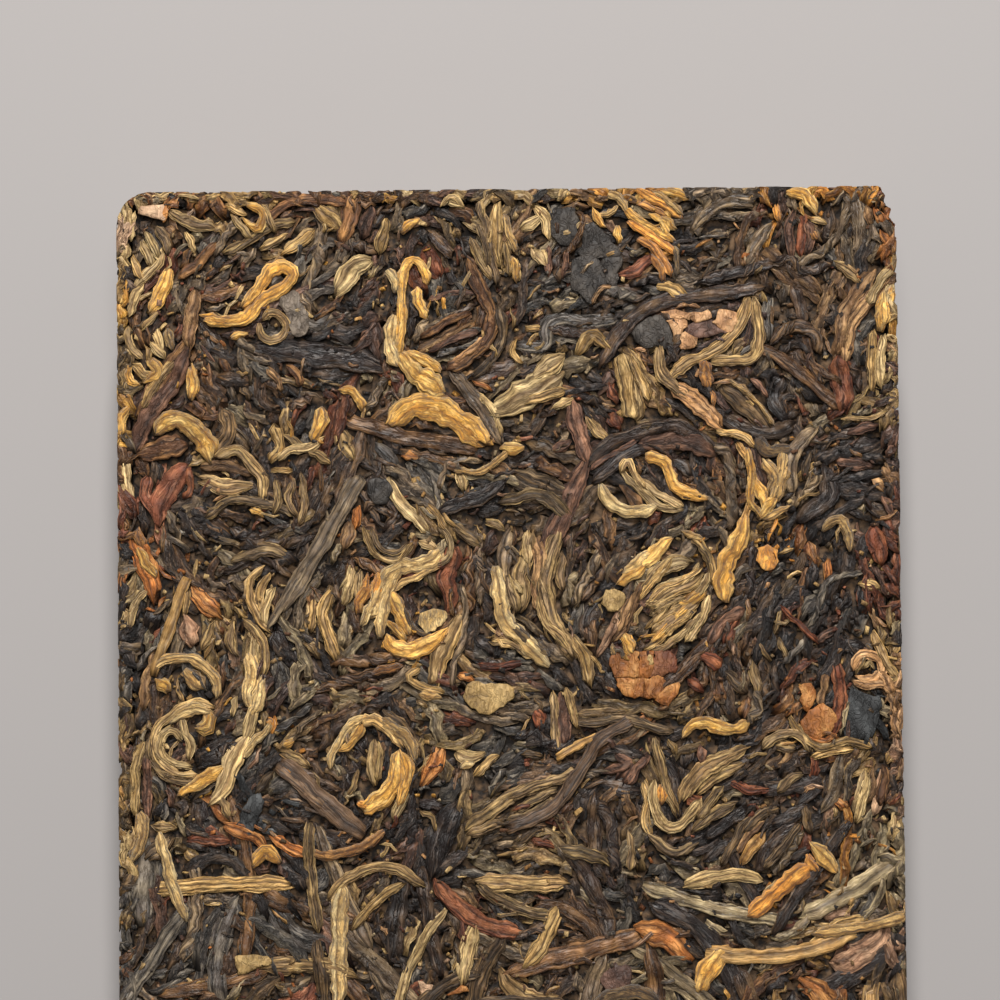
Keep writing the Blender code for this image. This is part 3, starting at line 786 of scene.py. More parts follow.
# matte and toasted, with short grain and clear creases darkened by painted shade
brown_leaf = leaf_finish("fired_coarse_leaf", fibre_mm=0.4, run_mm=2.0, streaks=0.4, crease_shade=0.25,
                         depth_mm=0.08, rough=0.6, specular=0.4)
NAMED_BROWN = cutting_list("""
long strip by the far edge: brown 11 -0.3 260,223 285,205 310,197 349,203
short strip: brown 12 -0.4 177,278 198,262 215,243
bent strip: brown 19 -0.2 189,336 178,358 158,384 138,417
its twin: plum 18 -0.5 185,358 172,385 158,403 144,422 134,450
upright by the far edge: brown 18 -0.4 357,189 350,215 341,241
upright by the far edge two: plum 16 -0.5 373,202 362,236
great arc: brown 15 -0.1 467,259 479,285 490,310 489,335 470,356 448,370
strip under the arc: hide 11 -0.5 415,354 440,338 474,320
russet patch: russet 20 -0.7 425,246 440,279
tip over the far edge: plum 11 -0.2 437,197 455,186
russet strip: brick 13 -0.15 619,274 632,272 643,264 654,256
right strip: hide 14 -0.25 890,271 865,305 850,330 845,364
right strip two: hide 16 -0.4 873,271 855,295 843,320 838,354
corner crumb: rust 13 -0.3 875,207 884,224
corner crumb two: rust 12 -0.3 882,230 890,246
corner crumb three: hide 12 -0.5 866,206 872,224
reddish leaf: brick 24 -0.3 188,464 170,485 158,505 160,525
inside the folded leaf: hide 12 -0.3 201,466 225,466 252,474
red thread: plum 6 0 590,470 610,455 638,440
under the great arc: plum 20 -0.5 636,445 665,440 690,443 714,452
russet by the tan leaf: russet 17 -0.6 610,406 620,429
brown flake: hide 22 -0.6 643,397 669,403
small russet: plum 11 -0.4 551,452 572,440
broad strip, top: plum 17 -0.05 572,400 580,436 588,463
broad strip: plum 22 -0.1 588,456 575,486 563,515 546,553 546,580
small rust: rust 13 -0.3 403,454 421,456
russet at the right: russet 25 -0.6 840,356 845,412
brown at the right: plum 13 -0.5 836,462 875,465
rust thread: ochre 8 -0.2 737,442 748,458 753,475 750,500 743,524
rust stub: rust 11 -0.3 358,505 355,529
reddish-orange strip: rust 21 -0.2 136,543 143,560 151,577 154,598
rust flake left: rust 19 -0.4 190,586 206,604 217,614
pink flake: pink 21 -0.4 184,619 193,643
brown upright: hide 15 -0.4 350,520 345,549
russet by the coil: russet 21 -0.4 456,546 446,575 451,595 448,614
rust over the coil: russet 11 -0.3 403,578 425,568 449,560
russet upright: hide 14 -0.5 534,531 540,560 537,590 541,614
brown slope: hide 11 -0.35 641,584 633,605 624,625 612,642
rust in the downy mass: ochre 14 -0.2 680,600 692,596 704,588
small rust low: russet 11 -0.4 704,691 687,679
russet right edge: russet 21 -0.5 874,526 882,564
russet thread: russet 6 -0.2 781,606 800,625 819,644
small rust right: plum 10 -0.3 817,642 835,628
small red: russet 11 -0.4 726,643 735,625 740,611
pink strip: plum 13 -0.3 745,608 725,620 710,644
russet leaf: russet 15 -0.25 837,661 840,688 839,713 832,737
rust bit: rust 13 -0.2 828,559 828,578
rust strip: russet 9 -0.4 477,665 500,667 524,662
rust dot: rust 11 -0.3 459,674 474,681
russet level: russet 12 -0.4 187,840 210,840 229,842
rust leaf: rust 14 -0.2 224,824 240,832 255,838 266,847
rust leaf two: rust 13 -0.3 271,837 290,848 309,857
brown bend: rust 19 -0.3 441,746 435,765 421,784
brown curl: plum 14 -0.4 616,753 632,765 620,779
brown curl two: plum 11 -0.5 602,774 625,765 636,758
brown curl three: plum 11 -0.4 648,755 635,770 625,786
red by the gold strip: plum 11 -0.2 702,746 702,764
its rim: hide 10 -0.25 828,672 823,690 821,706
red stub: russet 10 -0.4 815,753 815,779
rust stub low: rust 12 -0.4 837,798 847,811
brown level: russet 10 -0.4 731,783 750,790 770,789
rust low left: russet 9 -0.4 531,839 554,847
brown between ribs: plum 15 -0.4 563,698 563,720 565,744
brown left: plum 10 -0.4 146,755 147,790 147,820
rust left edge: ochre 9 -0.4 121,783 122,799
russet in the middle: russet 16 -0.7 700,652 722,668
dark red low: russet 14 -0.6 536,706 542,728
bent strip, top: hide 16 -0.1 195,290 191,318 189,347
inside the arc one: plum 8 -0.35 428,351 455,339 480,329
inside the arc two: brown 9 -0.35 420,338 445,323 469,312
inside the arc three: plum 7 -0.45 428,300 450,292 475,294
arc's inner lip: apricot 8 -0.02 485,336 470,351 450,363
pinkish bit by the fan: pink 14 -0.3 606,222 618,232
brown slope two: hide 9 -0.35 632,596 625,615 617,634
brown slope three: pink 9 -0.35 620,610 612,628 604,644 598,656
russet under the disc: rust 9 -0.3 800,724 812,737 826,741 838,734
pinkish leaf at the edge: pink 13 -0.2 882,772 880,794 874,816
plum strip one: plum 11 -0.2 794,212 789,232 792,255
plum strip two: russet 10 -0.2 802,211 802,234 800,256
plum strip three: plum 10 -0.25 808,220 811,238 806,254
plum leaf left: brown 24 -0.2 139,455 160,449 187,443
orange bit at the right edge: hide 12 -0.2 872,478 886,490
pink bit at the right edge: hide 10 -0.2 884,466 893,484
right ring: apricot 11 -0.1 853,670 858,659 869,655 880,660 883,670 876,679 864,679 856,676
right ring's foot: apricot 9 -0.05 853,680 865,686 880,684 898,689
orange-tan hook, low: apricot 19 0 672,384 690,397 706,411 723,429
flank strip one: plum 8 -0.25 549,246 547,261 549,277
flank strip two: plum 7 -0.25 568,248 566,262 562,278
tan edge under the dark flake: hide 5 -0.15 590,305 600,290 613,286
pinkish bit by the bundle: plum 7 -0.25 752,378 760,386 768,396
right edge, tan: plum 13 -0.2 848,433 862,428 877,424
by the right ring: apricot 11 -0.15 879,668 887,682 893,696
stripe at the right: pink 6 -0.1 862,775 863,788 860,802
tan stripe low: hide 9 -0.15 737,853 748,836 765,820
brown stripe low: ochre 15 -0.2 741,866 752,848 762,834
striped leaf, right: hide 11 -0.2 873,767 872,784 868,803
striped leaf, right two: brown 12 -0.2 885,766 884,784 880,803
ring on the stalk end: russet 3 0.1 762,557 768,552 775,556 772,563 764,563
tan at the right edge: plum 10 -0.2 883,496 889,506 893,518
bit in the dark: hide 8 -0.3 267,367 275,377 282,389
bit in the dark two: brown 9 -0.3 286,365 296,373 301,385
reddish leaf, side: brick 14 -0.3 148,477 145,494 152,512
reddish leaf, tip: russet 9 -0.2 187,469 191,484 184,499
""")
rng = np.random.default_rng(11)
heap = new_heap()
lay_named(heap, NAMED_BROWN, BROWN, rng, ribs=3, groove=0.22, roll=10, ragged=0.14)
strew(heap, face, 26, BROWN, rng, length=(6, 17), width=(1.3, 3.2), level=(-0.8, -0.2), step=0.7, ribs=3,
      ragged=0.16)
press_heap(heap, "coarse_leaves_face", brown_leaf)
heap = new_heap()
strew(heap, base, 60, BROWN, rng, length=(6, 17), width=(1.3, 3.2), level=(-0.6, -0.1), step=0.9,
      fine=False, ribs=3)
for wall in UPRIGHT:
    strew(heap, wall, round(wall["half"][0] * 0.5), BROWN, rng, length=(6, 15), width=(1.3, 2.8),
          level=(-0.6, -0.1), step=0.9, fine=False, ribs=3)
press_heap(heap, "coarse_leaves_back", brown_leaf)


# The veined leaf: half-rolled olive and tan leaf whose veins stand out as fine parallel
# ribs, and the pale curled strips of leaf edge.  Dry and matte, paler on every rib.
VEINED = palette({
    "tan": "442e1a bb9256 f0ca88",
    "olive": "2c1f12 7e6342 c4a268",
    "cream": "6c4f30 d8b478 f4d69c",
    "straw": "3c2a18 9c7a4e e0bc7a",
    "dun": "1e140c 59442e 9c7a4e",
})
# papery, with long pale streaks along the veins and painted shade in the creased lines between them
veined_leaf = leaf_finish("dry_veined_leaf", fibre_mm=0.3, run_mm=3.5, streaks=0.55, crease_shade=0.3,
                          depth_mm=0.08, rough=0.58, specular=0.4)
NAMED_VEINED = cutting_list("""
left tan: cream 10 -0.3 132,291 145,275 158,262 162,249
left tan bit: cream 10 -0.3 142,242 152,265
olive near the corner: straw 13 -0.3 168,210 190,222 215,228
tan bit: cream 9 -0.4 186,232 195,253
long tan: straw 11 -0.3 223,252 250,240 270,225 296,221
tan dash: tan 10 -0.3 260,249 287,234
tan slope: tan 13 -0.3 282,254 300,240 314,230
olive flake: tan 20 -0.4 315,206 340,227
bent strip's edge: tan 10 -0.1 174,361 155,385 141,409
ring: straw 9 -0.15 262,320 270,313 281,316 287,326 281,337 269,339 260,332 259,323
yellow flake: cream 12 -0.3 155,327 160,351
left arc: olive 9 -0.3 127,326 130,345 143,360
left upright: cream 9 -0.4 133,212 130,239
tan bud: tan 15 -0.3 387,218 381,240 380,254
downy leaf: cream 22 -0.2 337,292 352,270 370,260
outer arc: dun 11 -0.4 497,306 503,335 492,358 474,376
downy bit: straw 17 -0.3 468,220 488,232
downy upright: tan 15 -0.3 497,202 495,240 500,266
downy slope: straw 10 -0.3 470,237 480,258 492,279
bit under it: cream 9 -0.3 516,259 518,279
tan over the edge: cream 9 -0.2 443,200 464,206
tan curl: cream 13 -0.3 535,205 546,220 548,239
downy stub: cream 17 -0.4 533,247 547,265
orange-tan flake: tan 15 -0.3 658,283 684,294
round tan: tan 14 -0.3 578,354 592,336 608,348
small olive: tan 10 -0.4 525,328 543,328
tight curl: tan 7 -0.2 516,338 512,352 522,363
long fork: tan 13 -0.1 749,296 739,325 722,345 688,362 666,381
short fork: straw 13 -0.1 755,298 759,330 753,356 733,360 712,361
small tan: tan 13 -0.4 812,217 828,223
right tan: cream 10 -0.2 892,267 878,285 868,304
striped bundle: dun 18 -0.3 222,408 228,425 224,440 213,453
pale left: cream 11 -0.4 124,460 127,485 132,499
folded leaf's rim: straw 12 0 213,457 235,450 250,462 262,478 262,499
folded leaf's floor: straw 17 -0.4 201,480 230,487 254,485
tan bend: tan 13 -0.3 274,425 279,445 270,461
tan bit two: olive 9 -0.3 283,433 303,447
tan curve: cream 10 -0.2 278,459 290,450 310,448 323,438
rim of the hollow: tan 7 -0.3 270,470 293,470
arc over the hollow: olive 10 -0.2 205,517 225,503 245,500 270,505 294,514
strand one: olive 8 -0.3 275,478 278,497 273,514
strand two: olive 8 -0.3 293,478 288,500 297,518
strand three: olive 8 -0.3 300,473 305,500 298,524
tan beside the grey: cream 7 -0.2 479,393 493,410 502,434
tan wedge: cream 12 -0.4 459,472 465,490
striped bundle two: straw 24 -0.4 337,430 353,460
tan slope two: cream 13 -0.3 388,477 398,500 412,515 428,533
pale tan: straw 11 -0.3 586,412 595,428 607,440
tan leaf: tan 24 -0.3 621,351 628,380 636,422
tan leaf's rim: tan 10 0 631,356 643,385 649,399
orange-tan hook: olive 13 -0.1 659,346 660,368 672,384 690,396
cream strand: cream 9 -0.3 623,468 630,480 645,495 660,505 684,511
cream strand two: cream 9 -0.4 638,478 660,495 684,507
knob: olive 12 -0.3 638,424 652,424
veined leaf: dun 30 -0.5 516,477 564,493
olive arc: olive 15 -0.3 501,502 530,495 550,500 569,517
olive bundle: dun 24 -0.3 722,384 740,397 755,411 768,428
olive bundle's rim: olive 4 -0.05 716,388 725,381 735,383 748,396
thin tan: tan 8 -0.2 717,431 740,435 756,446
tan upright: dun 9 -0.3 810,452 804,479
tan right: cream 11 -0.4 883,352 880,384
hair at the right: straw 5 -0.1 842,418 870,418 887,410
left curve: cream 8 -0.2 149,590 138,598 132,610 130,629
tan by the stalk: tan 9 -0.4 188,588 184,616
tan slope left: straw 14 -0.3 214,622 201,649
loop's left: straw 11 -0.2 233,622 230,640 237,656
loop: straw 12 -0.2 243,620 258,635 265,655 261,676
olive strand one: tan 10 -0.15 264,566 250,580 250,600 258,618 270,631
olive strand two: tan 9 -0.2 269,573 260,592 262,616
olive strand three: cream 9 -0.2 273,588 266,605 264,624
olive cap: olive 15 -0.3 231,561 250,553 270,550 289,557
olive strip: cream 12 -0.3 353,567 350,585 343,604
fine arc one: tan 7 -0.1 363,526 370,548 380,557 398,560 413,543
fine arc two: olive 7 -0.1 372,528 380,548 397,553 407,545
tan noose: olive 7 -0.1 430,567 445,560 450,550 448,535 438,525
tan chip: cream 17 -0.3 419,541 437,548
olive flat leaf: tan 22 -0.3 460,616 448,640 438,660 434,684
tan curve left: tan 13 -0.2 331,594 322,612 325,630 332,645 337,659
tan beside it: tan 15 -0.4 313,598 308,630
low tan loop: tan 9 -0.2 420,666 409,678 425,688 444,692
tall olive strip: straw 17 -0.3 531,531 525,560 520,580 525,595 519,609
gold-edged thread: cream 8 -0.2 510,577 523,593
tan thread: cream 9 -0.2 526,532 528,564
olive bundle, tall: olive 17 -0.1 558,531 550,560 545,585 548,605 555,625 565,640 574,659
tan beside the bundle: straw 10 -0.15 539,596 545,620 558,635 573,654
tan upright low: tan 14 -0.2 573,636 585,660 590,684
downy mass's rim: tan 10 -0.1 690,536 703,548 712,566 713,586
downy mass, ridge: cream 16 -0.2 646,584 656,572 676,563 692,562
downy mass, ridge two: cream 16 -0.25 652,594 670,587 690,578
downy mass, bit: cream 17 -0.4 646,612 674,604
downy mass, foot: cream 10 -0.1 710,596 704,612 696,628 685,642
downy mass, foot two: straw 8 -0.15 700,616 684,632 666,646 648,652
right flake: tan 13 -0.4 860,583 880,587
tan thread right: olive 7 -0.3 779,638 787,659
tan down to the edge: tan 10 -0.2 873,632 880,650 888,665 898,677
tan corner: dun 14 -0.3 726,672 748,693
yellow upright: olive 11 -0.4 753,662 759,694
spiral, outside: straw 9 -0.05 213,706 197,703 181,708 168,716 157,728 153,744 156,758 166,768 180,774
  197,775
spiral, inside: cream 8 -0.1 190,767 176,764 165,757 160,745 164,734 173,731 180,740
spiral, spoke: cream 9 -0.1 182,716 184,730 190,745 189,760
spiral, heart: cream 9 -0.3 163,744 168,749
long tan upright: cream 13 -0.1 253,640 253,695 250,725 245,740
long tan upright, foot: cream 20 -0.1 247,736 236,755 229,770 222,790 211,803
small olive low: cream 7 -0.3 236,697 231,716
grey flap: straw 13 -0.3 282,753 300,760 308,767
left long: tan 10 -0.2 144,742 135,765 135,790 135,816
olive fuzz: dun 19 -0.5 170,837 147,858
tan level: tan 11 -0.4 152,825 175,829
tan slope low: olive 10 -0.4 220,797 230,819
short pale: dun 9 -0.3 257,793 271,772
leaf in the oval: straw 13 -0.3 374,740 372,760 374,784
leaf in the oval two: straw 8 -0.25 378,742 380,760 377,782
thin in the oval: straw 6 -0.3 359,769 354,784 347,798
oval's outer band: dun 9 -0.2 382,710 400,722 412,738 420,756
oval's tail: cream 13 -0.3 407,787 400,805 393,819
cream flake: cream 19 -0.2 456,752 470,758 484,752
small slope: tan 9 -0.3 473,777 485,765 498,756
under the dark bulge: straw 6 -0.2 420,811 432,818 436,832
low bundle one: olive 15 -0.2 465,830 490,812 515,795 543,783
low bundle two: olive 11 -0.2 509,798 535,786 560,780 578,768
low bundle three: olive 10 -0.3 512,812 535,800 557,789
low bundle four: olive 9 -0.3 507,822 532,814 553,799
low bundle five: dun 9 -0.3 512,844 530,835 544,826
low bundle six: olive 10 -0.3 467,837 485,828 504,823
rib one: olive 9 -0.1 553,692 554,715 556,735 558,752
rib two: straw 9 -0.1 567,687 572,710 577,729
level tan: olive 9 -0.2 577,715 600,712 629,712
level tan two: olive 11 -0.1 577,722 600,722 620,718 640,722 660,730 673,730
fuzz: dun 9 -0.4 522,755 543,755
tan slope middle: straw 10 -0.2 655,737 658,755 662,770 668,790 677,814
small olive bud: tan 9 -0.3 669,740 677,755
tan strand: tan 10 -0.3 644,782 648,800 645,820 652,839
curved cup: cream 12 -0.1 655,781 653,801 659,819 669,828 681,824 692,811 701,799
long veined leaf: straw 18 -0.1 683,801 691,784 705,770 726,757 748,748
long veined leaf two: straw 12 -0.3 698,792 720,775 744,763
low curve: olive 11 -0.3 647,833 665,848 680,852 698,843
low tan: olive 15 -0.3 557,849 580,853 600,858 609,865
low upright: olive 9 -0.3 629,832 632,850 630,872
yellow dash: tan 8 -0.3 515,850 528,848
tan and dark: tan 9 0 790,718 800,733 812,744 822,749 836,744 851,741 872,749
tan under it: tan 9 -0.2 810,758 830,752 854,750
arch: straw 11 -0.1 763,748 775,737 790,733 803,738 810,752
under the arch: olive 19 -0.4 777,745 798,749
edge tan: tan 15 -0.4 900,749 886,762
right upright: cream 13 -0.15 866,770 862,792 855,816
right upright two: cream 11 -0.3 870,776 862,800 857,822
pale slope: olive 13 -0.2 778,792 790,780 803,773
stripe tan: tan 9 -0.3 711,813 734,804
stripe tan two: dun 10 -0.2 746,833 760,815 779,807
stripe tan three: dun 9 -0.2 722,866 738,835 751,816
stripe tan four: dun 9 -0.3 764,870 784,846 800,824
olive upright: dun 11 -0.4 804,806 811,834
edge bit: cream 9 -0.4 900,818 898,834
left grey bit: cream 8 -0.4 128,842 121,864
spiral, outer ring: olive 8 -0.1 149,736 149,754 157,770 170,779 190,783 204,779
spiral, second ring: cream 7 -0.1 170,726 160,738 158,752 164,764
downy strand one: olive 9 -0.3 480,198 484,220 487,240
downy strand two: dun 7 -0.2 490,240 493,262 497,283
downy strand three: olive 8 -0.3 478,222 486,245 488,268
downy strand four: tan 8 -0.25 504,240 508,258 509,276
tan arc at the far edge: cream 7 -0.1 440,206 451,197 464,205
mass, strand one: tan 7 -0.1 694,610 676,624 660,640 644,649
mass, strand two: tan 7 -0.15 684,602 668,614 654,632
mass, strand three: cream 6 -0.1 700,563 690,577 680,588
mass, strand four: cream 8 -0.15 710,572 704,586 694,596
mass, strand five: olive 8 -0.2 700,545 707,556 712,570
mass, strand six: tan 7 -0.15 640,600 648,586 660,576
mass, strand seven: cream 8 -0.2 646,602 662,603 672,600
mass, strand eight: tan 7 -0.2 668,600 660,614 646,630
right ring, heart: cream 9 0.15 864,668 870,663 875,669
flat tan leaf: cream 30 -0.1 491,410 516,400 541,385 563,371
right strand one: cream 11 -0.15 884,335 880,360 881,388
right strand two: tan 10 -0.2 874,330 871,360 873,392
tan bit by the ring: straw 8 -0.15 232,214 240,226 252,238
tan bit by the ring two: olive 8 -0.2 260,204 269,216 273,232
yellow flake two: cream 9 -0.2 150,342 164,358
left tan two: cream 10 -0.2 128,318 134,300 142,284
white fold: tan 8 -0.1 620,474 628,460 634,474 646,488
middle leaf: olive 13 -0.25 508,576 514,595 517,612
below the gold-tan strip: straw 8 -0.2 490,640 510,645 532,657
third rib of the veined leaf: straw 12 -0.25 692,832 706,820 722,811 738,802
bit under the flat leaf: cream 12 -0.15 552,408 562,404 573,398
left tan three: cream 9 -0.2 145,231 152,245 160,258
left tan four: olive 10 -0.25 156,226 164,238 167,254
left tan five: straw 8 -0.2 140,331 149,320 160,312
cream triangle: cream 13 -0.2 521,228 532,223 541,215
tan at the right: straw 14 -0.25 836,262 848,270 861,281
coil's tail: tan 8 -0.15 426,504 438,517 447,531
mottled olive: olive 12 -0.3 452,524 466,534 480,544
gold-olive patch: straw 13 -0.3 487,522 497,524 505,530
beside the olive bundle: olive 8 -0.2 545,556 543,574 547,596
long olive strip: olive 10 -0.25 563,552 560,572 563,590
rim of the square lump: olive 9 -0.15 361,571 357,586 359,602
mass, strand nine: tan 7 -0.3 648,601 664,589 684,580 701,567
mass, strand ten: straw 7 -0.3 652,613 668,604 686,596
mass, strand eleven: tan 7 -0.3 656,625 672,613 689,603
mass, strand twelve: olive 7 -0.3 640,591 652,577 668,567
mass, strand thirteen: tan 7 -0.25 665,635 681,622 697,606
mass, strand fourteen: cream 6 -0.2 673,641 690,628 702,612
left edge, pale: tan 9 -0.2 132,256 136,268 142,280
left edge, tan: tan 11 -0.2 133,364 141,372 152,378
cream bit at the far edge: tan 10 -0.2 226,205 236,210 247,214
mass, bed one: tan 12 -0.45 648,607 668,595 690,585 704,573
mass, bed two: straw 12 -0.45 656,633 676,617 698,601
mass, bed three: tan 12 -0.45 643,589 656,575 674,557
tan bit by the slate: straw 10 -0.2 308,451 320,456 331,464
flat tan leaf, upper end: cream 20 -0.15 531,378 548,366 565,355
flat tan leaf, lower edge: tan 11 -0.15 523,404 545,396 566,389
stripe beside the bundle: straw 11 -0.25 697,820 709,804 722,787
""")
rng = np.random.default_rng(19)
heap = new_heap()
lay_named(heap, NAMED_VEINED, VEINED, rng, ribs=5, groove=0.28, roll=14, curl=0.1, second=ROLLED["grey"])
strew(heap, face, 60, VEINED, rng, length=(9, 22), width=(1.1, 2.6), level=(-0.6, -0.1), step=0.7,
      ribs=5, curl=0.1)
press_heap(heap, "veined_leaves_face", veined_leaf)
heap = new_heap()
strew(heap, base, 85, VEINED, rng, length=(9, 22), width=(1.1, 2.6), level=(-0.5, -0.1), step=1.5,
      fine=False, ribs=4)
for wall in UPRIGHT:
    strew(heap, wall, round(wall["half"][0] * 0.7), VEINED, rng, length=(9, 20), width=(1.1, 2.2),
          level=(-0.5, -0.1), step=1.5, fine=False, ribs=4)
press_heap(heap, "veined_leaves_back", veined_leaf)


# The stalks: bare young stems that came off with the leaf.  They stay straighter and
# smoother than the leaf, with long shallow flutes and a slight polish.
STALK = palette({
    "grey_tan": "261d16 6f5c46 a8916e",
    "golden": "462f18 b5884b dcb375",
    "brown": "241710 70543c a88560",
    "olive": "2c2316 8c7549 c0a673",
})
# smooth dry bark: the longest streaks, little relief and a slight polish
stalk_skin = leaf_finish("bare_tea_stalk", fibre_mm=0.4, run_mm=6.0, streaks=0.4, crease_shade=0.2,
                         depth_mm=0.05, rough=0.5)
NAMED_STALKS = cutting_list("""
tan stalk: golden 12 0 186,579 178,600 170,625 161,650 154,672
long stalk: grey_tan 18 0.05 359,476 338,515 318,549 301,578 280,610
long stalk's edge: grey_tan 8 0.1 309,558 290,592 267,629
low stalk: brown 22 0 280,762 300,780 320,800 345,820 364,834
low stalk's edge: brown 9 0.1 278,768 300,787 324,808
middle stalk: brown 14 0.05 633,720 610,732 598,742 588,758 578,775 562,797 545,813 507,829
middle stalk's spark: golden 9 -0.1 597,736 578,745 557,757
""")
rng = np.random.default_rng(23)
heap = new_heap()
stem = dict(ribs=3, groove=0.14, tips=(0.8, 0.7), roll=5, wander=0.06, ragged=0.05)
lay_named(heap, NAMED_STALKS, STALK, rng, **stem)
strew(heap, face, 12, STALK, rng, length=(14, 27), width=(1.1, 2.2), level=(-0.2, 0.0), step=0.7, **stem)
stem.update(step=1.0, fine=False)
strew(heap, base, 26, STALK, rng, length=(14, 27), width=(1.1, 2.2), level=(-0.2, 0.0), **stem)
for wall in UPRIGHT:
    strew(heap, wall, 5, STALK, rng, length=(12, 22), width=(1.1, 1.9), level=(-0.2, 0.0), **stem)
press_heap(heap, "stalks", stalk_skin)


# The flat flakes: pieces of open leaf that were pressed without rolling.  They lie flush
# with the face, smooth between a few cracks, with torn edges.
FLAKE = palette({
    "dark": "171412 35302c 5c544c",
    "clay": "4a2e1c c08e62 e4b888",
    "blush": "5c4030 d4ac88 ecc8a0",
    "plum": "1f1512 5b4238 93705e",
    "cream": "4c3820 ac8c58 d0b078",
    "straw": "4e4028 c4ac78 e4d09c",
    "grey": "2a211b 6e6154 9c8d7c",
    "slate": "131313 2e2e2e 5e6060",
    "rust": "3c1f10 a0622e dca462",
    "russet": "2a130c 703f2a a2704a",
})
# open leaf: broad mottling in the place of long fibres, and faint creases with painted shade
flake_skin = leaf_finish("flat_torn_leaf", fibre_mm=0.9, run_mm=1.5, streaks=0.3, crease_shade=0.18,
                         depth_mm=0.07, rough=0.55, specular=0.4)


def lay_flake(heap, wall, corners, colours, rng, level, thick=0.55):
    """Lays one flat piece of leaf on a wall, with the corners given in mm and its top at a level."""
    loop = np.array(corners, float)
    edges = np.roll(loop, -1, 0) - loop
    if (loop[:, 0] * edges[:, 1] - loop[:, 1] * edges[:, 0]).sum() < 0:
        loop = loop[::-1]
    loop = np.clip(np.vstack([loop, loop[:1]]), -wall["half"], wall["half"])
    reach = np.concatenate([[0], np.cumsum(np.hypot(*np.diff(loop, axis=0).T))])
    around = max(10, round(reach[-1] / 0.5))
    at = np.arange(around) / around * reach[-1]
    rim = np.stack([np.interp(at, reach, loop[:, k]) for k in (0, 1)], 1) + rng.normal(0, 0.09, (around, 2))
    middle = rim.mean(0)
    shares, drops = np.array([1.06, 1.1, 1.04, 0.7, 0.36]), np.array([-thick, -0.12, -0.01, 0.03, 0.04])
    spots = middle + (rim - middle)[None] * shares[:, None, None]
    slope, turns = rng.normal(0, 0.05, 2), rng.uniform(0.8, 2.4, 2)
    buckle = (spots - middle) @ slope + 0.09 * np.sin(spots @ turns + rng.uniform(0, 6))
    up = level + drops[:, None] + buckle + rng.normal(0, 0.02, spots.shape[:2])
    ring = np.concatenate([spots, up[..., None]], 2)
    covered = middle + (rim - middle)[None] * np.linspace(0, 1, 14)[:, None, None]
    np.maximum.at(wall["height"], cells_at(wall, covered), level - 0.05)
    wall["lie"].append((middle, edges[0] / np.hypot(*edges[0]), reach[-1], colours))
    first, body, top = colours
    shade = 0.4 * np.sin(spots @ rng.normal(0, 1.6, 2) + rng.uniform(0, 6)) + rng.normal(0, 0.14, up.shape)
    tone = body + (top - body) * np.clip(shade, 0, 1)[..., None]
    tone = tone + (first - body) * np.clip(-shade, 0, 1)[..., None]
    # painted shade: the flake's underside ring and its outer edge are darkened
    tone = tone * np.array([0.6, 0.85, 1, 1, 1])[:, None, None] * np.exp(rng.normal(0, 0.06))
    grain = np.concatenate([spots, np.full((*up.shape, 1), rng.random() * 99)], 2)
    faces, station, column, tip = leaf_blank(len(shares), around)
    local = ring[station, column]
    local[tip & (station == 0)] = (*middle, level - thick)
    local[tip & (station > 0)] = (*middle, up[-1].mean())
    heap["faces"] += [[heap["count"] + k for k in side] for side in faces]
    heap["points"].append(wall["origin"] + local @ wall["axes"])
    for key, rows in (("tone", tone), ("streak", top * np.ones_like(tone)), ("grain", grain)):
        heap[key].append(rows[station, column])
    heap["count"] += len(local)


def lay_named_flakes(heap, flakes, colours, rng):
    """Lays the flakes of a cutting list on the face: each has a level and corners."""
    for shade, level, *corners in flakes.values():
        lay_flake(heap, face, [face_spot(*corner) for corner in corners], colours[shade], rng, level)


def strew_flakes(heap, wall, count, rng):
    """Lays more flakes, of five to eight corners, where a wall is barest."""
    half_u, half_v = wall["half"] - 1.5
    top = SHOWN_EDGE - 2 if wall is face else half_v
    shades = list(FLAKE.values())
    for _ in range(count):
        spots = np.stack([rng.uniform(-half_u, half_u, TRIES), rng.uniform(-half_v, top, TRIES)], 1)
        middle = spots[wall["height"][cells_at(wall, spots)].argmin()]
        turn = np.sort(rng.uniform(0, 2 * math.pi, rng.integers(5, 9)))
        out = rng.uniform(1.2, 2.6) * rng.uniform(0.75, 1.1, (len(turn), 1))
        corners = middle + out * np.stack([np.cos(turn), rng.uniform(0.6, 1) * np.sin(turn)], 1)
        colours = shades[rng.integers(len(shades))]
        lay_flake(heap, wall, corners, colours, rng, rng.uniform(-0.4, -0.15))


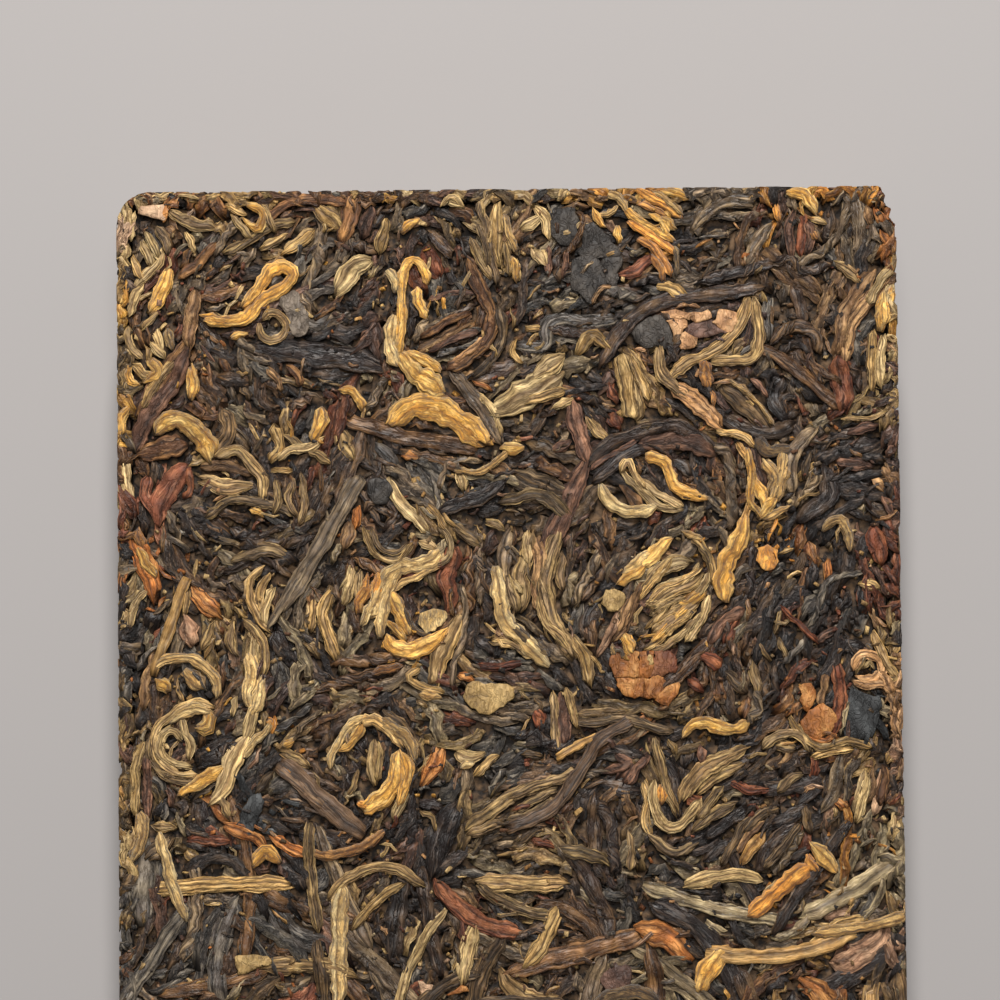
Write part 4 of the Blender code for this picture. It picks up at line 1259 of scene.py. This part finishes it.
NAMED_FLAKES = cutting_list("""
dark flake, top: dark -0.2 557,211 561,209 575,209 577,218 577,232 573,243 567,244 559,240 552,234 552,221
dark flake, body: dark -0.2 585,225 591,223 602,230 610,239 620,252 618,256 604,257 583,257 580,251 583,243
dark flake, side: dark -0.25 601,259 620,256 623,263 618,272 618,280 613,286 608,283 607,273 603,266
dark flake, foot: dark -0.2 572,262 583,258 596,258 600,264 605,273 606,284 596,292 590,302 584,296 574,288
  570,280 574,272
disc in the loop: dark -0.4 632,330 640,324 650,317 658,315 666,321 671,332 673,345 668,349 655,344 645,346
  636,340
cracked flake one: clay -0.15 662,311 680,310 690,313 689,319 678,318 667,317
cracked flake two: clay -0.15 690,313 700,311 709,310 711,318 700,321 691,321
cracked flake three: clay -0.12 718,311 737,312 738,320 733,331 728,332 720,327 713,321 717,318
cracked flake four: clay -0.15 668,319 686,319 687,324 682,331 676,337 671,328
cracked flake five: plum -0.3 687,326 700,321 709,319 716,325 728,331 712,335 700,338 690,334 685,330
cracked flake six: clay -0.2 679,337 684,332 690,335 697,340 694,347 686,349 679,345
pale flake: blush -0.2 140,206 152,204 163,205 166,210 163,221 156,219 147,216 139,212
flake on the coil: dark -0.15 369,481 383,478 391,484 391,495 386,503 373,503 368,493
cream flake: cream -0.05 473,683 485,684 497,684 508,686 514,691 512,697 500,706 490,713 482,712 471,706
  465,698 467,688
cream chip: cream -0.2 607,591 616,590 624,594 626,600 619,609 610,611 602,604
grey flake by the loop: grey -0.25 285,294 297,291 303,303 308,320 306,332 297,336 291,330 287,315 280,305
rust patch one: rust -0.2 612,652 638,652 640,664 636,677 616,676 611,664
rust patch two: rust -0.15 639,652 653,651 653,664 648,677 638,677 640,664
rust patch three: russet -0.2 654,652 668,650 676,658 677,670 664,675 650,676 654,664
rust patch four: rust -0.25 617,677 636,678 645,678 643,697 626,695 618,686
rust patch five: rust -0.15 646,678 664,676 666,688 656,699 644,697
rust patch six: rust -0.2 666,688 680,682 678,692 668,706 655,702 658,697
rust patch seven: cream -0.05 648,655 653,655 653,664 649,665
rust flake right: rust -0.15 801,685 811,683 816,692 814,704 806,711 800,700
clay disc: rust -0.2 801,722 811,711 822,705 832,709 836,720 829,732 818,739 807,733
slate flake right: slate -0.35 853,690 866,696 880,700 879,716 873,735 859,739 846,736 845,715
slate triangle: slate -0.3 257,793 263,801 258,818 250,834 237,832 241,814 249,800
pale flake's rim: rust -0.15 164,204 168,207 168,216 163,223 161,214
""")
rng = np.random.default_rng(29)
heap = new_heap()
lay_named_flakes(heap, NAMED_FLAKES, FLAKE, rng)
strew_flakes(heap, face, 24, rng)
strew_flakes(heap, base, 40, rng)
for wall in UPRIGHT:
    strew_flakes(heap, wall, 8, rng)
press_heap(heap, "flat_flakes", flake_skin)


# The golden buds: unopened leaf tips whose silvery down turned golden in the firing.
# They are plump, pointed at both ends and velvety, and they lie on top.
BUD = palette({
    "gold": "74481a d69a40 f6cc7a",
    "amber": "6e3e14 d88e38 f4ba60",
    "pale": "6c4e2a dab06c f6da9e",
    "wheat": "4e3419 b0874c dcb87a",
    "bright": "8e5a1e e8ac4c fad88c",
    "copper": "4c270f a46b2e d49b58",
    "dull": "281a12 62492c 967a4e",
})
# soft golden down: fine short hairs, no gloss and a pale sheen at the edges
bud_down = leaf_finish("golden_bud_down", fibre_mm=0.26, run_mm=1.6, streaks=0.5, crease_shade=0.2,
                       depth_mm=0.09, rough=0.7, specular=0.3, sheen=0.25)
NAMED_BUDS = cutting_list("""
loop: gold 14 0 203,318 222,321 245,318 262,300 282,288 293,276 285,266 270,272 256,290 243,306
left blade: bright 19 -0.1 149,310 160,295 168,268
small ring: bright 9 0 246,203 262,213 257,230 243,217
dash: gold 9 -0.2 231,337 247,333
by the hook: gold 10 -0.2 401,232 410,224 419,218
hook: bright 10 0.1 429,284 424,271 413,259 404,270 402,300 401,330 399,354
hook's lobe: pale 15 -0.15 388,270 395,280 397,292
hook's foot: bright 23 0 400,354 412,370 427,381 444,392
hook's heart: gold 11 -0.2 416,286 418,300 427,317
upright thread: wheat 8 -0.2 504,214 512,240 519,254
fan one: gold 9 -0.05 624,209 640,220 656,230 674,241
fan two: copper 10 -0.1 638,238 654,248 665,262 670,276
fan three: amber 10 -0.1 636,188 652,197 668,207 682,218
fan four: wheat 9 -0.1 606,192 620,199 628,212
fan five: bright 9 0.05 660,216 676,229
fan six: bright 13 -0.1 662,189 688,196
gold dash: bright 10 -0.1 617,226 619,242
fold: bright 15 -0.1 787,192 806,195 817,213
amber stub: amber 9 -0.3 775,200 779,220
right edge bud: bright 13 -0.2 885,290 880,330
small gold right: copper 10 -0.3 811,232 819,238
left one: gold 15 -0.2 149,358 158,372 144,382
left two: gold 9 -0.3 127,364 130,380 139,385
left three: gold 15 -0.15 190,366 193,382 190,399
arch: bright 21 0 154,434 165,422 182,421 195,430 205,442 211,457
left edge: gold 10 -0.2 129,405 121,420 121,437
plump bud: gold 22 0 322,406 319,425 311,443
curved gold: bright 10 -0.1 339,390 352,391 360,400 362,410
tapered bud: bright 27 0.1 390,424 410,408 435,408 460,422 486,444
square bud: bright 17 0 500,449 524,447
gold thread: wheat 7 -0.1 454,470 478,472 498,460 509,451
golden strip: gold 13 -0.05 646,456 665,463 672,480 685,492 707,499
cream cup: pale 14 0 601,483 608,500 625,511 645,511 657,505
in the hollow: gold 9 -0.5 249,508 267,516
tuft one: dull 13 0 755,438 772,452 790,446
tuft two: bright 13 0 753,478 762,495 766,513
tuft three: bright 12 -0.05 778,496 768,507 759,518
tuft four: wheat 12 0 787,466 783,480 778,498
tuft five: wheat 15 0 765,460 775,478 770,494
claw: wheat 10 -0.05 823,531 830,523 842,520 849,536 850,552
top of the red strip: copper 15 -0.1 136,530 143,547
gold edge of the red strip: gold 10 0 137,548 146,563 156,577
coil, outside: pale 17 0.1 441,549 432,560 417,565 402,567 391,575 383,587 376,601 370,618
coil, inside: pale 13 0.05 399,572 391,583 385,599 382,618 380,637
coil, wall: gold 15 -0.1 391,592 397,606 402,619 410,634
coil, base: gold 19 0 386,634 394,646 410,651 427,645 446,629
coil, inner lip: dull 6 -0.2 404,606 411,622 421,634 432,634
coil, thin rim: wheat 7 -0.1 394,591 402,583 416,577 430,570 441,565
gold-tan strip: pale 18 0 497,567 500,598 506,620 524,641 549,664
its gold side: dull 9 0.1 509,622 525,637 549,655
crown of the mass: bright 16 0 640,566 655,552 672,538
crown of the mass two: pale 12 0 624,574 640,560 652,550
crown of the mass three: gold 12 -0.05 618,583 632,576 646,565
large bud: gold 21 0.15 745,520 740,537 729,556 724,578 725,602
gold patch: gold 19 -0.1 624,633 632,652
cream patch: wheat 14 -0.1 612,643 614,655
mass, ridge: gold 12 -0.05 676,604 690,602 706,589
double bud: pale 15 0 249,653 252,675 248,693 251,710
double bud two: pale 13 -0.05 262,680 258,700 251,716
cap: wheat 11 0 153,669 165,660 181,657 196,661 208,671 217,684 216,698
under the cap: bright 15 0.15 157,680 164,686 168,691
body of the cap: wheat 24 -0.2 186,672 205,690
gold in the spiral: bright 20 0 198,728 208,726 210,712
spiral, top: pale 13 0 170,722 182,713 198,708 211,712
spiral's tail: bright 14 0 176,796 192,786 208,777 224,767
small amber: amber 13 -0.1 267,720 276,727
thin gold: pale 9 -0.1 272,722 262,735 248,748 242,759
gold chip: bright 13 -0.1 284,746 293,741
left foot: wheat 15 -0.1 140,812 143,830 138,846 129,864
oval loop, left: pale 9 0.1 330,770 331,756 340,740 351,725 364,717
oval loop, top: wheat 12 0.05 360,719 378,722 392,733 402,746
oval loop, right: bright 18 0.1 398,750 396,774 389,791 376,803 364,811
oval loop, right side: gold 13 0.05 402,752 408,766 406,782 398,806
low amber strip: copper 11 0 308,852 335,855 355,850 370,842 384,831
gold curve: bright 14 0.1 682,737 691,727 706,723 721,728 738,728 749,720
low right bud: gold 21 0.1 811,843 824,857 838,872
low right bud's side: amber 15 -0.1 808,856 816,872
low left bud: gold 15 0 252,866 265,851 278,862
by the cream flake: pale 13 -0.2 460,768 472,762
gold level: wheat 12 -0.2 418,694 442,697
gold in the strip: copper 10 -0.2 372,674 386,669 402,667
orange in the cup: amber 12 -0.3 662,786 662,806
right bit: dull 10 -0.3 868,643 872,652
coil, foot: gold 9 -0.05 386,620 394,628 406,640
oval loop, left side: gold 10 0 338,752 349,745 357,735 362,724
oval loop, outer top: wheat 13 0 378,720 396,729 409,743 417,760
oval loop, tip: amber 12 0.05 358,802 370,808
hook's lobe, low: pale 16 -0.15 395,316 391,332 392,350
hook's shoulder: bright 13 -0.15 408,352 424,360 440,370
thread by the hook: gold 9 -0.15 513,256 517,281
fan seven: amber 9 0 628,222 645,232 661,241 676,254
fan eight: wheat 7 -0.1 654,190 670,202 683,215
fan nine: copper 8 -0.15 638,203 654,208 668,215
fan ten: copper 10 -0.1 652,254 660,268 664,280
fan eleven: bright 7 -0.1 650,213 662,223 668,236
fan twelve: dull 7 -0.1 674,246 678,262 676,276
far edge gold: amber 10 -0.2 590,190 604,193
mass, gold strand: gold 7 0 690,606 674,618 662,632 652,642
tuft six: gold 9 -0.1 747,448 752,475 750,500 762,518
tuft seven: wheat 10 -0.1 784,450 780,474 772,500
tuft eight: wheat 9 -0.05 790,506 776,513 763,519
right edge bud two: gold 8 -0.2 892,284 891,304
right edge bud three: gold 12 -0.25 886,300 884,326
gold by the bent strip: wheat 10 -0.2 167,328 171,350
gold lump one: gold 9 -0.1 592,208 598,219 607,227
gold lump two: wheat 8 -0.1 599,214 608,214 617,206
olive bundle's gold line: wheat 4 0 732,381 748,394 763,408 775,425
rust flake: copper 15 -0.1 705,358 706,372 709,388
rust bit: copper 6 -0.2 712,390 715,405
square lump: amber 15 -0.05 381,571 378,584 372,598
square lump's side: amber 8 0 368,574 364,588 367,600
hook's waist: pale 15 -0.1 388,338 391,352 397,366
square lump's foot: amber 14 -0.05 368,586 361,599 358,612
coil, seam: pale 9 0.1 374,598 369,611 361,625
wheat bit over the mass: wheat 8 -0.1 682,531 691,534 702,539
""")
BUD_ENDS = cutting_list("""
cut stalk end: amber 0 759,548 768,546 777,550 779,560 773,569 763,569 757,560
coil, inner lip: pale 0 420,613 433,610 447,611 446,619 437,628 427,633 421,626
""")
rng = np.random.default_rng(31)
heap = new_heap()
plump = dict(ribs=4, groove=0.14, tips=(0.15, 0.15), depth=1.2, roll=8, ragged=0.18, tear=0.3)
lay_named(heap, NAMED_BUDS, BUD, rng, **plump)
lay_named_flakes(heap, BUD_ENDS, BUD, rng)
strew(heap, face, 40, BUD, rng, length=(7, 20), width=(1.1, 2.6), level=(-0.15, 0.1), step=0.65, **plump)
plump.update(step=0.9, fine=False)
press_heap(heap, "golden_buds_face", bud_down)
heap = new_heap()
strew(heap, base, 68, BUD, rng, length=(7, 20), width=(1.1, 2.6), level=(-0.2, 0.1), **plump)
for wall in UPRIGHT:
    strew(heap, wall, round(wall["half"][0] * 0.35), BUD, rng, length=(7, 16), width=(1.1, 2.2),
          level=(-0.2, 0.1), **plump)
press_heap(heap, "golden_buds_back", bud_down)


# The broken leaf: short bits of every kind that fill the gaps between the larger leaves
# and lie with them, tucked under their edges.  They have the colours of what they broke
# off from.
NEARBY = 2.5
# the dark gaps that stay open in the coils and folds
HOLLOWS = ((430, 596, 16), (371, 752, 12), (175, 740, 6), (250, 522, 10), (370, 790, 10), (290, 462, 8),
           (700, 738, 8), (192, 470, 6), (230, 700, 10), (632, 245, 7), (409, 275, 4), (409, 290, 4),
           (410, 305, 4), (409, 320, 5), (408, 336, 5), (688, 752, 7), (178, 697, 8), (378, 795, 6))
# half dull, with short creased grain like the leaves that it broke off from, and painted shade in its creases
broken_leaf = leaf_finish("broken_leaf", fibre_mm=0.3, run_mm=1.4, streaks=0.4, crease_shade=0.25,
                          depth_mm=0.08, rough=0.5)


def neighbours(wall, spot, rng):
    """The direction in which the nearest leaves lie, and the colours of one of them."""
    middles, ways, sizes = (np.array(rows) for rows in list(zip(*wall["lie"]))[:3])
    share = sizes * np.exp(-((middles - spot) ** 2).sum(1) / (2 * NEARBY ** 2)) + 1e-12
    double = 2 * np.arctan2(ways[:, 1], ways[:, 0])
    angle = 0.5 * math.atan2((share * np.sin(double)).sum(), (share * np.cos(double)).sum())
    return angle, wall["lie"][rng.choice(len(share), p=share / share.sum())][3]


def bare_spot(wall, rng, tries, band=None):
    """The lowest of a few random places on a wall, all within a band round its edge if given."""
    half = wall["half"] - 0.3
    spots = rng.uniform(-1, 1, (tries, 2)) * half
    if band:
        side = rng.integers(2, size=tries)
        end = rng.choice((-1, 1), tries)
        spots[np.arange(tries), side] = end * (half[side] - rng.uniform(0, band, tries))
    depths = wall["height"][cells_at(wall, spots)]
    return spots[depths.argmin()], depths.min()


def fill_gaps(heap, wall, count, rng, barest, length, width, level, band=None, **ways):
    """Lays short bits in the lowest places that are left, along their neighbours.

    Places higher than the barest level are left alone.  So are the hollows, the dark gaps
    in the coils and folds: a column, a row and a reach each, in the picture's pixels.
    """
    holes = np.array([(*face_spot(x, y), r / PX_PER_MM) for x, y, r in HOLLOWS])
    shades = 2 * list(ROLLED.values()) + [BROWN[name] for name in ("brown", "russet", "plum", "hide")]
    for _ in range(count):
        spot, depth = bare_spot(wall, rng, 16, band)
        if depth > barest:
            continue
        if wall is face and (np.hypot(*(holes[:, :2] - spot).T) < holes[:, 2]).any():
            continue
        angle, colours = neighbours(wall, spot, rng)
        if rng.random() < (0.1 if band else 0.15 + 1.2 * colours[1][0]):
            colours = shades[rng.integers(len(shades))]
        if band:
            angle = math.pi / 2 * (np.argmin(wall["half"] - np.abs(spot)) == 0)
        angle += rng.normal(0, 0.9 if band else 0.4)
        long, bend, dim = rng.uniform(*length), rng.normal(0, 0.6), rng.uniform(0.75, 1.1)
        turned = angle + bend * np.linspace(-0.5, 0.5, 4)
        route = spot + np.cumsum(np.stack([np.cos(turned), np.sin(turned)], 1), 0) * long / 4
        route -= route.mean(0) - spot
        dull = [colour * dim for colour in colours]
        lay_leaf(heap, wall, route, rng.uniform(*width), dull, rng, level=rng.uniform(*level),
                 tuck=True, tips=(0.6, 0.6), **ways)


rng = np.random.default_rng(37)
bits = dict(step=0.9, fine=False, ribs=2, wander=0.2, ragged=0.4, tear=0.8, groove=0.3, roll=24)
heap = new_heap()
fill_gaps(heap, face, 420, rng, barest=-0.45, length=(1.8, 4.5), width=(1.0, 2.0), level=(-0.35, -0.1),
          band=1.0, **bits)
fill_gaps(heap, face, 250, rng, barest=-0.65, length=(6, 13), width=(0.9, 2.1), level=(-0.7, -0.35), **bits)
fill_gaps(heap, face, 1410, rng, barest=-0.75, length=(1.8, 5.6), width=(0.9, 2.4), level=(-0.8, -0.35),
          **bits)
press_heap(heap, "broken_leaf_face", broken_leaf)
bits.update(step=1.7)
heap = new_heap()
fill_gaps(heap, base, 130, rng, barest=-0.6, length=(3, 7), width=(1.4, 2.4), level=(-0.45, -0.2),
          band=2.0, **bits)
fill_gaps(heap, base, 270, rng, barest=-0.9, length=(3.5, 9), width=(1.4, 2.8), level=(-0.8, -0.4), **bits)
for wall in UPRIGHT:
    share = wall["half"][0] / HALF[1]
    fill_gaps(heap, wall, round(115 * share), rng, barest=-0.3, length=(3, 7), width=(1.4, 2.4),
              level=(-0.45, -0.15), band=1.6, **bits)
    fill_gaps(heap, wall, round(270 * share), rng, barest=-0.65, length=(3, 7.5), width=(1.3, 2.6),
              level=(-0.7, -0.3), **bits)
press_heap(heap, "broken_leaf_back", broken_leaf)


# The shreds: single fibres and slivers of leaf edge, from a quarter to half a millimetre
# wide, that lie over and between everything and break its outlines.
SHRED = list(ROLLED.values()) + list(BROWN.values()) + 2 * list(VEINED.values()) + [BUD["pale"]]
# thin smooth fibre with small glints along its edges
shred_skin = leaf_finish("loose_fibre", fibre_mm=0.3, run_mm=1.5, streaks=0.4, crease_shade=0.2,
                         depth_mm=0.05, rough=0.45)


def strew_shreds(heap, wall, count, rng):
    """Lays shreds in low places, nearly along the leaves there and mostly in their colours."""
    for _ in range(count):
        spot = bare_spot(wall, rng, 3)[0]
        angle, colours = neighbours(wall, spot, rng)
        if rng.random() < 0.35:
            colours = SHRED[rng.integers(len(SHRED))]
        long = rng.uniform(1.6, 5.5)
        turned = angle + rng.normal(0, 0.45) + rng.normal(0, 0.8) * np.linspace(-0.5, 0.5, 3)
        route = spot + np.cumsum(np.stack([np.cos(turned), np.sin(turned)], 1), 0) * long / 3
        lay_leaf(heap, wall, route - route.mean(0) + spot, rng.uniform(0.28, 0.6), colours, rng, level=-0.9,
                 depth=0.5, ribs=2, groove=0.08, step=1.0, fine=False, wander=0.2, tear=0.1)


rng = np.random.default_rng(41)
heap = new_heap()
strew_shreds(heap, face, 730, rng)
press_heap(heap, "leaf_shreds", shred_skin)


# The crumbs: what rubs off the leaves in the press and stays caught in the gaps.  They
# are small uneven blocks of dry leaf, up to about a millimetre long.
# dry and matte, with grain as short as the crumbs are small
crumb_skin = leaf_finish("leaf_crumb", fibre_mm=0.3, run_mm=0.6, streaks=0.4, crease_shade=0.2,
                         depth_mm=0.06, rough=0.6)
bm = bmesh.new()
bmesh.ops.create_cube(bm, size=1.0)
CRUMB_BODY = np.array([vert.co for vert in bm.verts])
CRUMB_FACES = np.array([[vert.index for vert in side.verts] for side in bm.faces])
bm.free()


def strew_crumbs(heap, wall, count, rng, tries, lift=0.1):
    """Drops small uneven blocks in the lowest of a number of places, each a little above it."""
    corners = len(CRUMB_BODY)
    for _ in range(count):
        spot, depth = bare_spot(wall, rng, tries)
        colours = neighbours(wall, spot, rng)[1]
        if rng.random() < 0.3:
            colours = SHRED[rng.integers(len(SHRED))]
        size = rng.uniform((0.3, 0.2, 0.12), (1.1, 0.6, 0.3))
        body = CRUMB_BODY * size * rng.uniform(0.55, 1.25, (corners, 3))
        turned = Matrix.Rotation(rng.uniform(0, 7), 3, 'Z') @ Matrix.Rotation(rng.normal(0, 0.5), 3, 'X')
        body = body @ np.array(turned)
        body += (*spot, min(depth + lift, -0.2))
        shade = colours[0] + (colours[1] - colours[0]) * rng.uniform(0.1, 1.0)
        heap["faces"] += (CRUMB_FACES + heap["count"]).tolist()
        heap["points"].append(wall["origin"] + body @ wall["axes"])
        heap["tone"].append(np.repeat(shade[None], corners, 0))
        heap["streak"].append(np.repeat(colours[2][None], corners, 0))
        heap["grain"].append(np.hstack([body[:, :2], np.full((corners, 1), rng.random() * 99)]))
        heap["count"] += corners


rng = np.random.default_rng(43)
heap = new_heap()
strew_crumbs(heap, face, 2100, rng, 8)
strew_crumbs(heap, face, 400, rng, 1)
for wall in (base, *UPRIGHT):
    strew_crumbs(heap, wall, round(wall["half"][0] * wall["half"][1] / 5), rng, 6)
press_heap(heap, "leaf_crumbs", crumb_skin)
